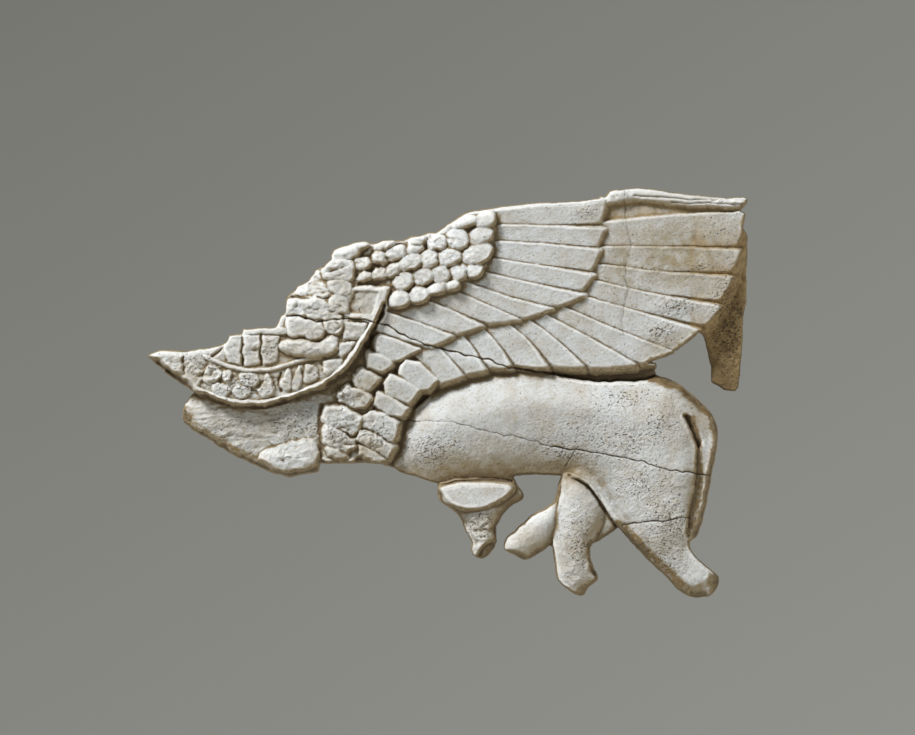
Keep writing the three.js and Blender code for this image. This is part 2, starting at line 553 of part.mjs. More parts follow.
function collar() {
  const plate = [
    [-66.9, 2.2], [-64.0, 3.6], [-57.1, 3.7], [-53.2, 4.2], [-49.6, 5.8], [-48.9, 7.1],
    [-46.5, 7.1], [-44.6, 8.1], [-39.7, 8.4], [-36.0, 8.1], [-24.2, 17.0], [-14.9, 17.0],
    [-15.8, 13.4], [-17.0, 9.8], [-18.8, 7.0], [-21.2, 2.4], [-23.7, -0.6], [-27.6, -3.4],
    [-31.8, -5.6], [-36.1, -7.1], [-40.5, -8.4], [-44.8, -8.7], [-48.7, -8.1], [-53.4, -6.8],
    [-57.6, -4.9], [-60.9, -2.0], [-64.7, 1.0],
  ];
  const rim = smooth(COLLAR_RIM, LIMB_STEP, false);
  const ridge = smooth(COLLAR_RIDGE, LIMB_STEP, false);
  const solids = [
    slab(plate, 0, COLLAR_DEPTH),
    strip(rim, COLLAR_RIM_WIDTH, BURIED_DEPTH, COLLAR_RIM_DEPTH),
    strip(ridge, COLLAR_RIDGE_WIDTH, BURIED_DEPTH, COLLAR_RELIEF_DEPTH),
  ];

  const dropRow = new THREE.SplineCurve(DROP_ROW.map(([x, z]) => new THREE.Vector2(x, z)));
  for (let i = 0; i < DROP_COUNT; i += 1) {
    const along = i / (DROP_COUNT - 1);
    const away = dropRow.getTangentAt(along).rotateAround(new THREE.Vector2(), -Math.PI / 2);
    solids.push(drop(dropRow.getPointAt(along), away));
  }

  // Blocks of the inner band, on the left and up the right side.
  const blocks = [
    { spot: [-48.1, 4.0], length: 3.0, width: 5.2, turn: 0 },
    { spot: [-44.3, 3.9], length: 3.4, width: 5.6, turn: 0 },
    { spot: [-40.3, 4.0], length: 3.6, width: 5.4, turn: 0 },
    { spot: [-42.0, 7.6], length: 7.6, width: 1.6, turn: 4 },
    { spot: [-23.4, 4.2], length: 3.6, width: 3.6, turn: 40 },
    { spot: [-21.9, 8.4], length: 4.4, width: 3.4, turn: 62 },
    { spot: [-20.0, 14.2], length: 6.4, width: 5.4, turn: 76 },
  ];
  for (const { spot, length, width, turn } of blocks) {
    solids.push(block(spot, length, width, turn, COLLAR_RELIEF_DEPTH, 0));
  }

  // The pointed corner at the far left.
  const corner = [[-66.4, 2.2], [-63.6, 3.3], [-60.0, 2.6], [-59.4, 0.2], [-62.4, -0.2]];
  const point = [[-64.0, 1.8, COLLAR_RELIEF_DEPTH], [-61.2, 1.2, COLLAR_RELIEF_DEPTH]];
  solids.push(cushion(corner, point, BURIED_DEPTH, COLLAR_DEPTH, LOW_RINGS));
  return solids;
}

// The stump of the neck: broken above, with the locks of the wig that fall on the collar.
function neck() {
  const outline = [
    [-39.4, 8.0], [-38.2, 11.0], [-36.8, 12.0], [-36.8, 14.5], [-35.5, 16.1], [-33.2, 18.1],
    [-31.9, 18.9], [-30.2, 21.1], [-27.4, 22.4], [-26.3, 23.9], [-23.1, 26.7], [-19.7, 26.7],
    [-18.8, 22.7], [-19.6, 17.4], [-22.4, 10.6], [-24.2, 6.0], [-25.8, 3.4], [-33.9, 2.6],
    [-37.6, 4.0],
  ];
  const lock = smooth([
    [-38.4, 3.3], [-37.1, 5.7], [-33.9, 6.1], [-29.6, 5.9], [-28.3, 7.4], [-26.3, 7.6],
    [-24.8, 6.3], [-25.3, 4.2], [-26.8, 2.5], [-30.0, 2.3], [-33.9, 2.3],
  ], SMALL_STEP);
  const spine = [[-33.0, 7.0, NECK_DEPTH], [-23.0, 21.0, NECK_DEPTH]];
  const lockSpine = [[-35.6, 4.2, LOCK_DEPTH], [-30.6, 4.2, LOCK_DEPTH], [-27.4, 5.0, LOCK_DEPTH]];
  const solids = [
    cushion(outline, spine, 0, NECK_RIM_DEPTH, LOW_RINGS),
    cushion(lock, lockSpine, BURIED_DEPTH, LOCK_RIM_DEPTH, LOW_RINGS),
  ];
  const curls = [
    { spot: [-33.9, 8.5], length: 4.6, width: 3.6, turn: 0 },
    { spot: [-30.9, 8.1], length: 4.2, width: 3.6, turn: 0 },
    { spot: [-26.8, 9.1], length: 4.2, width: 3.4, turn: 10 },
    { spot: [-30.4, 12.1], length: 6.0, width: 4.6, turn: 6 },
    { spot: [-25.3, 13.9], length: 4.6, width: 3.8, turn: 20 },
    { spot: [-25.3, 17.5], length: 4.4, width: 3.6, turn: 30 },
    { spot: [-24.8, 21.0], length: 4.2, width: 3.4, turn: 30 },
  ];
  for (const { spot, length, width, turn } of curls) {
    solids.push(knob(spot, length, width, turn, NECK_DEPTH - CURL_SINK, CURL_RISE));
  }
  return solids;
}

// The strip of ground that is left standing behind the tip of the wing.
function groundStrip() {
  const outline = [
    [50.0, 30.4], [61.8, 29.8], [62.7, 28.5], [62.7, 23.1], [62.2, 14.5], [61.6, 7.0],
    [60.7, -4.0], [60.1, -5.1], [58.8, -5.2], [57.5, -4.9], [55.8, -3.8], [54.9, -3.3],
    [54.7, -1.6], [54.1, 2.7], [53.0, 7.0], [50.0, 9.0],
  ];
  return [slab(outline, 0, GROUND_DEPTH)];
}

function joinAll(solids) {
  return solids.reduce((whole, solid) => whole.add(solid));
}

function asGeometry(solid) {
  const { vertProperties, triVerts } = solid.getMesh();
  const geometry = new THREE.BufferGeometry();
  geometry.setAttribute('position', new THREE.BufferAttribute(vertProperties, 3));
  geometry.setIndex(new THREE.BufferAttribute(triVerts, 1));
  geometry.computeVertexNormals();
  return geometry;
}

const ivory = new THREE.MeshStandardMaterial({ color: 0xcbc4b4, roughness: 0.62, metalness: 0 });

const plaque = new THREE.Mesh(asGeometry(joinAll([
  ...wing(),
  ...shoulder(),
  ...breastFeathers(),
  ...body(),
  ...tail(),
  ...farLegs(),
  ...flower(),
  ...chest(),
  ...collar(),
  ...neck(),
  ...groundStrip(),
])), ivory);
plaque.name = 'sphinx_plaque';

const group = new THREE.Group();
group.add(plaque);

export default group;
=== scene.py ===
import math

import bpy
import numpy as np
from mathutils import Matrix, Vector
from mathutils.bvhtree import BVHTree


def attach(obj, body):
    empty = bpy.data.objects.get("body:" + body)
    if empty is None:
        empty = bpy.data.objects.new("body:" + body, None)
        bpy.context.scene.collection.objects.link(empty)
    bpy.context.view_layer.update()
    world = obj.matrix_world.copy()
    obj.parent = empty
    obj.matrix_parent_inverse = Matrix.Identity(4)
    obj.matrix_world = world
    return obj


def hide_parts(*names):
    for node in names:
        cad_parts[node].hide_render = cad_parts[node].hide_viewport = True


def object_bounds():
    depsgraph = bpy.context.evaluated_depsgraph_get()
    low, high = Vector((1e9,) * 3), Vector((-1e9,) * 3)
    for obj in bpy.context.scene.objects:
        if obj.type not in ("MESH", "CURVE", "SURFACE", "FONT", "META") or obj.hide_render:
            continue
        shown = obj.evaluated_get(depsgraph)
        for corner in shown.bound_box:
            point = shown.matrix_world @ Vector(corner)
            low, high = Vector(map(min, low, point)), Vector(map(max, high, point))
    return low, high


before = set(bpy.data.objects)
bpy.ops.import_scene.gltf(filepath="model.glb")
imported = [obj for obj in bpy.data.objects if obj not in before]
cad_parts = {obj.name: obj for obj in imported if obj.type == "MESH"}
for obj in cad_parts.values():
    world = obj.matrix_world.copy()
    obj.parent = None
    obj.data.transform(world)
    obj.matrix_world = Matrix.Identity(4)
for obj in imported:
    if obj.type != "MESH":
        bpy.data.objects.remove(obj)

cad_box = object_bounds()

# The view: straight at the carved face through a long lens, with one soft light high on the left
# that rakes across the relief, weak ones beside the plaque that reach its edges, and grey all round.
PICTURE_WIDTH = 0.1967
FACE_PLANE = -0.009
CAMERA_DISTANCE = 1.6
SENSOR = 36.0

camera_data = bpy.data.cameras.new("camera")
camera = bpy.data.objects.new("camera", camera_data)
bpy.context.scene.collection.objects.link(camera)
camera.location = (0, FACE_PLANE - CAMERA_DISTANCE, 0)
camera.rotation_euler = (math.radians(90), 0, 0)
camera_data.sensor_width = SENSOR
camera_data.lens = SENSOR * CAMERA_DISTANCE / PICTURE_WIDTH
bpy.context.scene.camera = camera


def soft_light(name, place, size, power, colour):
    light = bpy.data.lights.new(name, "AREA")
    light.shape = "DISK"
    light.size = size
    light.energy = power
    light.color = colour
    lamp = bpy.data.objects.new(name, light)
    lamp.location = place
    lamp.rotation_euler = (-Vector(place)).to_track_quat("-Z", "Y").to_euler()
    bpy.context.scene.collection.objects.link(lamp)


soft_light("high_left_light", (-0.63, -0.60, 0.92), 0.3, 17.4, (1.0, 1.0, 1.0))
soft_light("front_light", (0.6, -1.1, -0.5), 1.0, 1.4, (1.0, 0.96, 0.9))
soft_light("left_edge_light", (-1.0, -0.15, -0.6), 0.6, 3.4, (1.0, 0.97, 0.92))
soft_light("right_edge_light", (1.1, -0.25, -0.25), 0.6, 2.4, (1.0, 0.96, 0.9))

world = bpy.data.worlds.new("grey_room")
bpy.context.scene.world = world
world.use_nodes = True
sky = world.node_tree.nodes
sky_links = world.node_tree.links
direction = sky.new("ShaderNodeTexCoord")
towards_low_right = sky.new("ShaderNodeVectorMath")
towards_low_right.operation = "DOT_PRODUCT"
towards_low_right.inputs[1].default_value = (0.6, 0, -1)
sky_links.new(direction.outputs["Generated"], towards_low_right.inputs[0])
to_grey = sky.new("ShaderNodeMapRange")
to_grey.inputs["From Min"].default_value = -0.086
to_grey.inputs["From Max"].default_value = 0.086
sky_links.new(towards_low_right.outputs["Value"], to_grey.inputs["Value"])
greys = sky.new("ShaderNodeMix")
greys.data_type = "RGBA"
greys.inputs["A"].default_value = (0.180, 0.184, 0.165, 1)
greys.inputs["B"].default_value = (0.282, 0.283, 0.262, 1)
sky_links.new(to_grey.outputs["Result"], greys.inputs["Factor"])
sky_links.new(greys.outputs["Result"], sky["Background"].inputs["Color"])
bpy.context.scene.view_settings.view_transform = "Standard"

FLOOR_HEIGHT = -0.4
FLOOR_HALF = 0.5
floor_mesh = bpy.data.meshes.new("pale_floor")
floor_mesh.from_pydata(
    [(x, y, FLOOR_HEIGHT) for x, y in (
        (-FLOOR_HALF, -FLOOR_HALF), (FLOOR_HALF, -FLOOR_HALF),
        (FLOOR_HALF, FLOOR_HALF), (-FLOOR_HALF, FLOOR_HALF))],
    [], [(0, 1, 2, 3)])
floor = bpy.data.objects.new("pale_floor", floor_mesh)
bpy.context.scene.collection.objects.link(floor)
floor_paint = bpy.data.materials.new("pale_floor_paint")
floor_paint.use_nodes = True
floor_shader = floor_paint.node_tree.nodes["Principled BSDF"]
floor_shader.inputs["Base Color"].default_value = (0.42, 0.42, 0.40, 1)
floor_shader.inputs["Roughness"].default_value = 0.9
floor_mesh.materials.append(floor_paint)

# The block: a slab of ivory, carved from the front only. Its relief is kept as one depth, in
# millimetres from the flat back, for every point of a fine raster, and each form below is cut
# into that raster. Places are [x, z] in millimetres.
PITCH = 0.1
LOW = np.array([-68.0, -51.0])
HIGH = np.array([64.0, 40.0])
X, Z = np.meshgrid(np.arange(LOW[0], HIGH[0], PITCH), np.arange(LOW[1], HIGH[1], PITCH))
depth = np.zeros_like(X)

GROUND_DEPTH = 2.6
WEB_DEPTH = 4.2
RECESS_DEPTH = 7.9


def rounded(points, closed=False, step=0.5):
    """A smooth line through landmarks, with a point about every step."""
    spots = np.array(points, float)
    if closed:
        spots = np.vstack([spots[-1:], spots, spots[:2]])
    else:
        spots = np.vstack([2 * spots[0] - spots[1], spots, 2 * spots[-1] - spots[-2]])
    line = []
    for before, start, end, after in zip(spots, spots[1:], spots[2:], spots[3:]):
        gap = np.linalg.norm(end - start)
        pull_start = (end - before) * gap / (gap + np.linalg.norm(start - before) + 1e-9)
        pull_end = (after - start) * gap / (gap + np.linalg.norm(after - end) + 1e-9)
        count = max(int(gap / step), 1)
        t = (np.arange(count) / count)[:, None]
        line.append(
            start * (2 * t**3 - 3 * t**2 + 1) + pull_start * (t**3 - 2 * t**2 + t)
            + end * (3 * t**2 - 2 * t**3) + pull_end * (t**3 - t**2))
    if not closed:
        line.append(spots[-2:-1])
    return np.vstack(line)


def around(line, margin=0.0):
    """The part of the raster that holds a line."""
    low = (np.min(line, 0) - margin - LOW) / PITCH
    high = (np.max(line, 0) + margin - LOW) / PITCH
    rows = slice(max(int(low[1]), 0), max(int(high[1]) + 2, 0))
    columns = slice(max(int(low[0]), 0), max(int(high[0]) + 2, 0))
    return rows, columns


def inside(outline, x, z):
    odd = np.zeros(x.shape, bool)
    for (ax, az), (bx, bz) in zip(outline, np.roll(outline, -1, 0)):
        if az != bz:
            odd ^= ((az > z) != (bz > z)) & (x < ax + (z - az) * (bx - ax) / (bz - az))
    return odd


def distance_to(line, x, z):
    """The distance to a line, and how far along it the nearest spot lies, in points."""
    nearest = np.full(x.shape, 1e9)
    along = np.zeros(x.shape)
    for i, ((ax, az), (bx, bz)) in enumerate(zip(line, line[1:])):
        wx, wz = bx - ax, bz - az
        t = np.clip(((x - ax) * wx + (z - az) * wz) / (wx * wx + wz * wz + 1e-12), 0, 1)
        gap = (x - ax - t * wx) ** 2 + (z - az - t * wz) ** 2
        closer = gap < nearest
        nearest = np.where(closer, gap, nearest)
        along = np.where(closer, i + t, along)
    return np.sqrt(nearest), along


def frequencies():
    rows = np.fft.fftfreq(X.shape[0], PITCH)[:, None]
    return rows, np.fft.rfftfreq(X.shape[1], PITCH)[None, :]


def blur(field, size):
    """The field smoothed over about that many millimetres."""
    rows, columns = frequencies()
    keep = np.exp(-2 * (math.pi * size) ** 2 * (rows**2 + columns**2))
    return np.fft.irfft2(np.fft.rfft2(field) * keep, s=field.shape)


def grain(seed, length, width=None, turn=0.0):
    """An even, random unevenness of that length and width, with a spread of one."""
    width = width or length
    white = np.random.default_rng(seed).standard_normal(X.shape)
    rows, columns = frequencies()
    angle = math.radians(turn)
    along = columns * math.cos(angle) + rows * math.sin(angle)
    beside = rows * math.cos(angle) - columns * math.sin(angle)
    keep = np.exp(-math.pi**2 * ((along * length) ** 2 + (beside * width) ** 2) / 2)
    field = np.fft.irfft2(np.fft.rfft2(white) * keep, s=X.shape)
    return field / field.std()


def closed_line(outline):
    return np.vstack([outline, outline[:1]])


def sample(field, x, z):
    """The field's value at each place, between the raster's points."""
    column = np.clip((x - LOW[0]) / PITCH, 0, field.shape[1] - 1.001)
    row = np.clip((z - LOW[1]) / PITCH, 0, field.shape[0] - 1.001)
    i, j = row.astype(int), column.astype(int)
    s, t = row - i, column - j
    return (
        field[i, j] * (1 - s) * (1 - t) + field[i + 1, j] * s * (1 - t)
        + field[i, j + 1] * (1 - s) * t + field[i + 1, j + 1] * s * t)


def raise_to(part, height, mask):
    """Leaves ivory standing to that height where the mask is set."""
    depth[part] = np.where(mask, np.maximum(depth[part], height), depth[part])


def plate(outline, height):
    line = np.array(outline, float)
    part = around(line)
    raise_to(part, height, inside(line, X[part], Z[part]))


def dome(outline, spine, rim, soften=0.7, swell=2.0):
    """A swelling form: from its rim the surface rises to the crowns that its spine states."""
    spine = np.array(spine, float)
    part = around(outline, 2.0)
    mask = inside(outline, X[part], Z[part])
    x, z = X[part][mask], Z[part][mask]
    edge, _ = distance_to(closed_line(outline), x, z)
    axis, along = distance_to(spine[:, :2], x, z)
    crown = np.interp(along, np.arange(len(spine)), spine[:, 2])
    share = edge / (edge + axis + 1e-9)
    height = np.zeros_like(depth)
    inner = np.zeros_like(depth)
    height[part][mask] = rim + (crown - rim) * (1 - (1 - share) ** swell) ** (1 / swell)
    inner[part][mask] = 1
    smooth = blur(height, soften)[part] / np.maximum(blur(inner, soften)[part], 1e-3)
    raise_to(part, smooth, mask)


# The strip of ground behind the tip of the wing, the thin wall under the wing's edge, and the
# ground between the chest, the collar and the short feathers.
STRIP = [
    [50.0, 30.4], [61.8, 29.8], [62.6, 28.5], [62.7, 23.1], [62.4, 18.8], [62.5, 14.5],
    [61.6, 10.2], [61.7, 7.0], [61.3, 0.8], [60.9, -2.6], [60.7, -4.2], [60.1, -5.1], [58.8, -5.1],
    [57.5, -4.9], [56.6, -4.2], [55.8, -3.8], [54.9, -3.3], [54.7, -1.6], [54.6, 0.5], [54.1, 2.7],
    [53.5, 5.4], [53.0, 7.0], [50.0, 9.0],
]
plate(STRIP, GROUND_DEPTH)
plate([
    [-16.5, -21.0], [-9.0, -23.0], [20.0, -20.0], [46.0, -8.0], [46.9, -3.5], [43.0, -1.6],
    [42.6, -0.6], [43.1, 0.0], [42.9, 1.2], [9.1, 0.9], [-4.0, -1.6], [-12.0, -7.0],
], WEB_DEPTH)
plate([
    [-36.0, -4.0], [-34.0, -19.0], [-29.4, -20.7], [-22.0, -20.7], [-18.0, -8.0], [-20.0, 6.0],
    [-26.0, 2.0],
], RECESS_DEPTH)

# What is left of the two far legs, broken off below the belly, and the wall that joins them.
STUB_RIM_DEPTH = 4.6
STUB_DEPTH = 8.4
LEFT_STUB_RIM_DEPTH = 4.2
LEFT_STUB_DEPTH = 7.6
LEG_WALL_DEPTH = 4.6
dome(rounded([
    [20.6, -30.4], [23.4, -22.0], [28.5, -24.4], [34.8, -33.6], [34.5, -34.7], [31.5, -36.8],
    [29.1, -38.0], [22.0, -39.2], [19.7, -38.0],
], closed=True), [[24.0, -33.0, 6.2], [31.0, -32.0, 6.0]], LEG_WALL_DEPTH)
dome(rounded([
    [22.0, -28.6], [18.8, -30.4], [15.8, -32.0], [12.8, -34.7], [10.4, -37.1], [10.1, -39.2],
    [12.4, -40.6], [14.7, -41.6], [17.7, -40.1], [20.0, -38.2], [21.4, -34.9],
], closed=True), [
    [19.0, -33.0, LEFT_STUB_DEPTH], [13.6, -38.0, LEFT_STUB_DEPTH],
], LEFT_STUB_RIM_DEPTH)
dome(rounded([
    [23.2, -22.6], [28.5, -25.0], [31.4, -29.6], [31.5, -33.2], [29.1, -38.2], [28.7, -41.2],
    [30.4, -45.4], [28.5, -47.4], [26.8, -49.3], [23.8, -47.8], [21.5, -45.7], [21.1, -42.5],
    [20.5, -39.2], [21.0, -33.9], [22.0, -27.8],
], closed=True), [
    [26.0, -28.0, STUB_DEPTH], [25.2, -38.0, STUB_DEPTH], [25.6, -45.0, STUB_DEPTH - 0.6],
], STUB_RIM_DEPTH)

# The flower under the belly: a flat lens-shaped lip over a stem that narrows to a break.
STEM_RIM_DEPTH = 3.6
STEM_DEPTH = 7.6
LIP_DEPTH = 8.5
dome(rounded([
    [-3.9, -24.6], [-4.3, -26.8], [-3.8, -28.7], [-1.4, -30.6], [0.2, -32.0], [1.4, -34.7],
    [2.8, -37.7], [3.2, -40.3], [4.6, -41.2], [7.0, -40.2], [8.5, -37.7], [8.3, -35.6],
    [9.4, -32.4], [11.7, -30.0], [14.4, -28.0], [13.0, -25.4], [11.6, -23.4], [2.7, -23.8],
], closed=True), [
    [3.0, -28.0, STEM_DEPTH], [6.0, -32.0, STEM_DEPTH], [5.6, -38.5, STEM_DEPTH],
], STEM_RIM_DEPTH)

# The striding body with its haunch and near hind leg: one swelling form whose belly turns away
# below, broken off above the paw.
BODY_RIM_DEPTH = 4.2
BREAST_DEPTH = 9.0
BODY_DEPTH = 10.2
HAUNCH_DEPTH = 11.3
THIGH_DEPTH = 10.2
HOCK_DEPTH = 8.8
body_outline = rounded([
    [-13.4, -21.8], [-12.8, -15.0], [-11.2, -11.0], [-8.0, -7.7], [-4.5, -5.0], [0.0, -2.8],
    [6.8, -1.0], [15.6, -0.7], [24.2, -2.1], [32.8, -2.9], [41.4, -2.3], [43.8, -2.0],
    [47.4, -3.3], [50.4, -5.6], [53.9, -8.8], [55.2, -10.6], [56.2, -13.8], [56.0, -17.0],
    [55.0, -23.0], [53.8, -29.5], [52.6, -34.0], [51.6, -36.4], [50.2, -37.4], [50.1, -38.4],
    [51.7, -41.0], [54.5, -43.4], [56.3, -45.0],
    [56.0, -47.8], [53.9, -49.5], [50.4, -49.6], [47.4, -47.8], [44.6, -44.8], [41.4, -42.0],
    [38.4, -38.8], [34.8, -34.8], [32.8, -31.9], [30.2, -27.8], [28.1, -25.3], [25.3, -23.8],
    [17.7, -23.2], [11.9, -23.5], [7.0, -24.6], [-0.5, -24.8], [-4.6, -25.0], [-9.1, -23.5],
], closed=True, step=0.9)
dome(body_outline, [
    [-4.0, -12.0, BREAST_DEPTH], [14.0, -8.2, BODY_DEPTH], [30.0, -8.8, BODY_DEPTH],
    [43.0, -12.0, HAUNCH_DEPTH], [47.8, -21.0, HAUNCH_DEPTH], [47.4, -32.0, THIGH_DEPTH],
    [52.0, -43.0, HOCK_DEPTH], [53.4, -46.0, HOCK_DEPTH],
], BODY_RIM_DEPTH, soften=1.1, swell=1.4)
EDGE_RISE = 2.6
for edge_line in (
    [[26.0, -24.2], [28.1, -25.3], [30.2, -27.8], [32.8, -31.9], [34.8, -34.8], [38.4, -38.8]],
    [[46.0, -2.8], [50.4, -5.6], [53.9, -8.8], [56.2, -13.8], [56.0, -17.0], [55.0, -23.0],
     [53.8, -29.5], [52.6, -34.0]],
):
    edge_line = rounded(edge_line)
    part = around(edge_line, 5.0)
    x, z = X[part], Z[part]
    from_edge, _ = distance_to(edge_line, x, z)
    depth[part] += inside(body_outline, x, z) * EDGE_RISE * np.exp(-(from_edge / 1.7) ** 2)

# The tail, which goes on from the rump and hangs close behind the haunch, with a groove between.
GROOVE_FLOOR_DEPTH = 8.2
TAIL_GROOVE = [
    [48.9, -10.4], [51.3, -10.4], [51.9, -13.4], [52.7, -17.1], [53.0, -23.5], [52.3, -28.5],
    [51.5, -32.6], [50.5, -37.6], [49.2, -36.2], [49.7, -31.5], [50.9, -26.2], [51.2, -22.5],
    [51.5, -17.1], [50.7, -14.4],
]
groove_part = around(np.array(TAIL_GROOVE))
depth[groove_part] = np.where(
    inside(TAIL_GROOVE, X[groove_part], Z[groove_part]),
    np.minimum(depth[groove_part], GROOVE_FLOOR_DEPTH), depth[groove_part])

# The lap of the chest under the collar, rough where it broke away.
CHEST_RIM_DEPTH = 5.6
CHEST_DEPTH = 8.4
CHEST_LUMP_RIM_DEPTH = 7.6
CHEST_LUMP_DEPTH = 9.2
chest_outline = np.array([
    [-57.6, -6.2], [-59.0, -7.6], [-59.4, -10.2], [-59.0, -11.9], [-57.5, -13.5], [-53.2, -16.0],
    [-48.9, -18.6], [-44.6, -20.7], [-41.4, -22.3], [-36.2, -23.8], [-33.9, -23.2],
    [-30.0, -22.5], [-29.6, -21.0], [-29.6, -8.0], [-33.9, -1.5], [-44.6, -3.6], [-54.3, -3.0],
])
dome(chest_outline, [[-51.0, -8.6, CHEST_DEPTH], [-33.0, -9.0, CHEST_DEPTH]], CHEST_RIM_DEPTH)
dome(rounded([
    [-43.0, -20.8], [-42.0, -18.2], [-39.2, -16.9], [-34.9, -15.8], [-30.9, -15.4],
    [-29.7, -17.8], [-29.9, -21.0], [-34.0, -22.4], [-39.0, -22.6],
], closed=True), [
    [-38.6, -19.4, CHEST_LUMP_DEPTH], [-32.0, -18.6, CHEST_LUMP_DEPTH],
], CHEST_LUMP_RIM_DEPTH, soften=0.3)

# The wing: a plate with two rows of long feathers. Each blade slopes down from a crest along its
# upper edge, over a fine groove, and the inner row lies over the roots of the outer one.
WING_CORE_DEPTH = 6.6
PRIMARY_DEPTH = 8.1
SECONDARY_DEPTH = 9.3
HOLLOW_DEPTH = 7.2
RAIL_DEPTH = 8.85
FEATHER_STEP = 0.3
CREST_RISE = 0.16
GROOVE_DEPTH = 0.35
CREST_WIDTH = 0.3
ROOT_COVER = 2.6
TIP_BULGE = 0.09
TIP_CORNER = 0.08
PRIMARY_THINNING = 0.012
SECONDARY_THINNING = 0.018

plate([
    [-22.7, 26.6], [-16.7, 26.9], [-14.4, 27.2], [-11.5, 27.6], [-9.6, 28.5], [-8.1, 28.5],
    [-4.6, 29.1], [-1.6, 31.3], [1.2, 33.2], [3.4, 33.9], [6.3, 34.3], [9.1, 34.7], [16.7, 35.5],
    [26.3, 35.9], [30.6, 36.5], [32.1, 37.0], [33.0, 38.0], [37.0, 38.5], [40.5, 38.6],
    [46.1, 37.6], [53.2, 36.9], [58.0, 36.4], [62.6, 36.5], [61.9, 34.6], [61.2, 33.8],
    [60.5, 27.8], [58.6, 26.3], [59.0, 22.7], [57.3, 20.7], [57.2, 17.1], [54.9, 14.5],
    [52.6, 10.0], [50.0, 8.5], [46.8, 5.3], [43.1, 2.9], [38.0, 1.4], [28.9, 0.5], [20.3, 0.7],
    [11.3, 0.7], [2.7, -0.3], [-3.8, -2.4], [-8.5, -4.8], [-12.1, -7.6], [-12.8, -11.3],
    [-13.6, -16.4], [-15.2, -20.9], [-28.3, -20.6], [-28.5, -8.1], [-24.2, -1.6], [-22.7, 14.5],
], WING_CORE_DEPTH)


def skirt(row, slope, reach):
    """The walls around a row of forms: they lean out by so much before they drop."""
    spread = row.copy()
    for turn in range(int(reach / PITCH)):
        steps = [(0, 1), (0, -1), (1, 0), (-1, 0)]
        if turn % 2:
            steps += [(1, 1), (1, -1), (-1, 1), (-1, -1)]
        grown = spread
        for step in steps:
            fall = slope * PITCH * math.hypot(*step)
            grown = np.maximum(grown, np.roll(spread, step, (0, 1)) - fall)
        spread = grown
    return spread


def lay_over(row, slope, reach):
    """Sets a row of forms on what is carved already, with leaning walls around it."""
    global depth
    walls = np.where(depth > 0, skirt(row, slope, reach), row)
    depth = np.maximum(depth, walls)


def feather_row(first, feathers, depth_at):
    """One row of blades, each given by the root and bend of its lower edge, its heel and its toe.

    Gives their heights and a mask of the fine seams between them."""
    row = np.zeros_like(depth)
    seams = np.zeros_like(depth)
    upper = first
    for root, bend, heel, toe in feathers:
        edges = []
        for start, turn, end in ((*upper, toe), (root, bend, heel)):
            way = np.subtract(start, turn)
            cover = np.add(start, way / np.linalg.norm(way) * ROOT_COVER)
            edges.append(rounded([cover, start, turn, end], step=0.4))
        upper = (root, bend)
        top, low = edges
        along = top[-1] - top[-3]
        along /= np.linalg.norm(along)
        across = low[-1] - top[-1]
        bulge = along * np.linalg.norm(across) * TIP_BULGE
        tip = rounded([
            top[-1], top[-1] + across * TIP_CORNER + bulge,
            low[-1] - across * TIP_CORNER + bulge, low[-1],
        ], step=0.3)
        outline = np.vstack([top, tip, low[::-1]])
        part = around(outline)
        x, z = X[part], Z[part]
        mask = inside(outline, x, z)
        from_top, _ = distance_to(top, x, z)
        from_low, _ = distance_to(low, x, z)
        from_tip, _ = distance_to(tip, x, z)
        share = from_top / (from_top + from_low + 1e-9)
        crest = np.clip(from_top / CREST_WIDTH, 0, 1)
        crest = crest * crest * (3 - 2 * crest)
        height = depth_at(x) - GROOVE_DEPTH
        height = height + crest * (GROOVE_DEPTH + FEATHER_STEP * (1 - share))
        height = height + crest * CREST_RISE * np.exp(-(from_top / 0.5) ** 2)
        height -= 0.3 * np.exp(-(from_low / 0.16) ** 2)
        height -= 0.3 * np.exp(-(from_tip / 0.3) ** 2)
        row[part] = np.where(mask, height, row[part])
        seams[part] = np.where(
            mask, np.exp(-(from_low / 0.2) ** 2) + 0.6 * np.exp(-(from_top / 0.12) ** 2),
            seams[part])
    return row, seams


PRIMARY_TOP = [[31.9, 31.5], [46.8, 33.0]]
PRIMARIES = [
    [[31.9, 26.2], [45.7, 26.1], [59.7, 26.0], [61.6, 33.6]],
    [[30.6, 22.4], [44.6, 20.7], [58.6, 20.4], [60.7, 25.5]],
    [[29.3, 19.0], [42.5, 16.0], [56.2, 14.3], [59.0, 19.7]],
    [[26.3, 15.8], [39.2, 12.1], [52.8, 8.9], [56.7, 13.4]],
    [[22.5, 13.4], [34.5, 8.3], [46.5, 3.5], [52.1, 8.3]],
    [[18.8, 11.7], [28.5, 6.6], [38.6, 1.0], [46.8, 3.5]],
    [[14.9, 10.9], [21.6, 5.9], [28.0, 0.2], [38.4, 0.9]],
    [[10.6, 10.0], [15.6, 5.7], [20.0, 0.7], [27.4, 0.3]],
    [[4.8, 9.4], [8.7, 5.3], [12.1, 0.9], [19.5, 0.3]],
    [[0.5, 7.8], [3.1, 4.8], [6.4, 0.4], [11.8, 0.3]],
    [[-4.6, 5.1], [-2.0, 2.5], [1.4, -1.1], [6.2, -0.4]],
    [[-9.8, 2.9], [-7.0, 0.1], [-4.1, -3.2], [1.3, -1.5]],
]
SECONDARY_TOP = [[9.1, 34.1], [21.0, 35.4]]
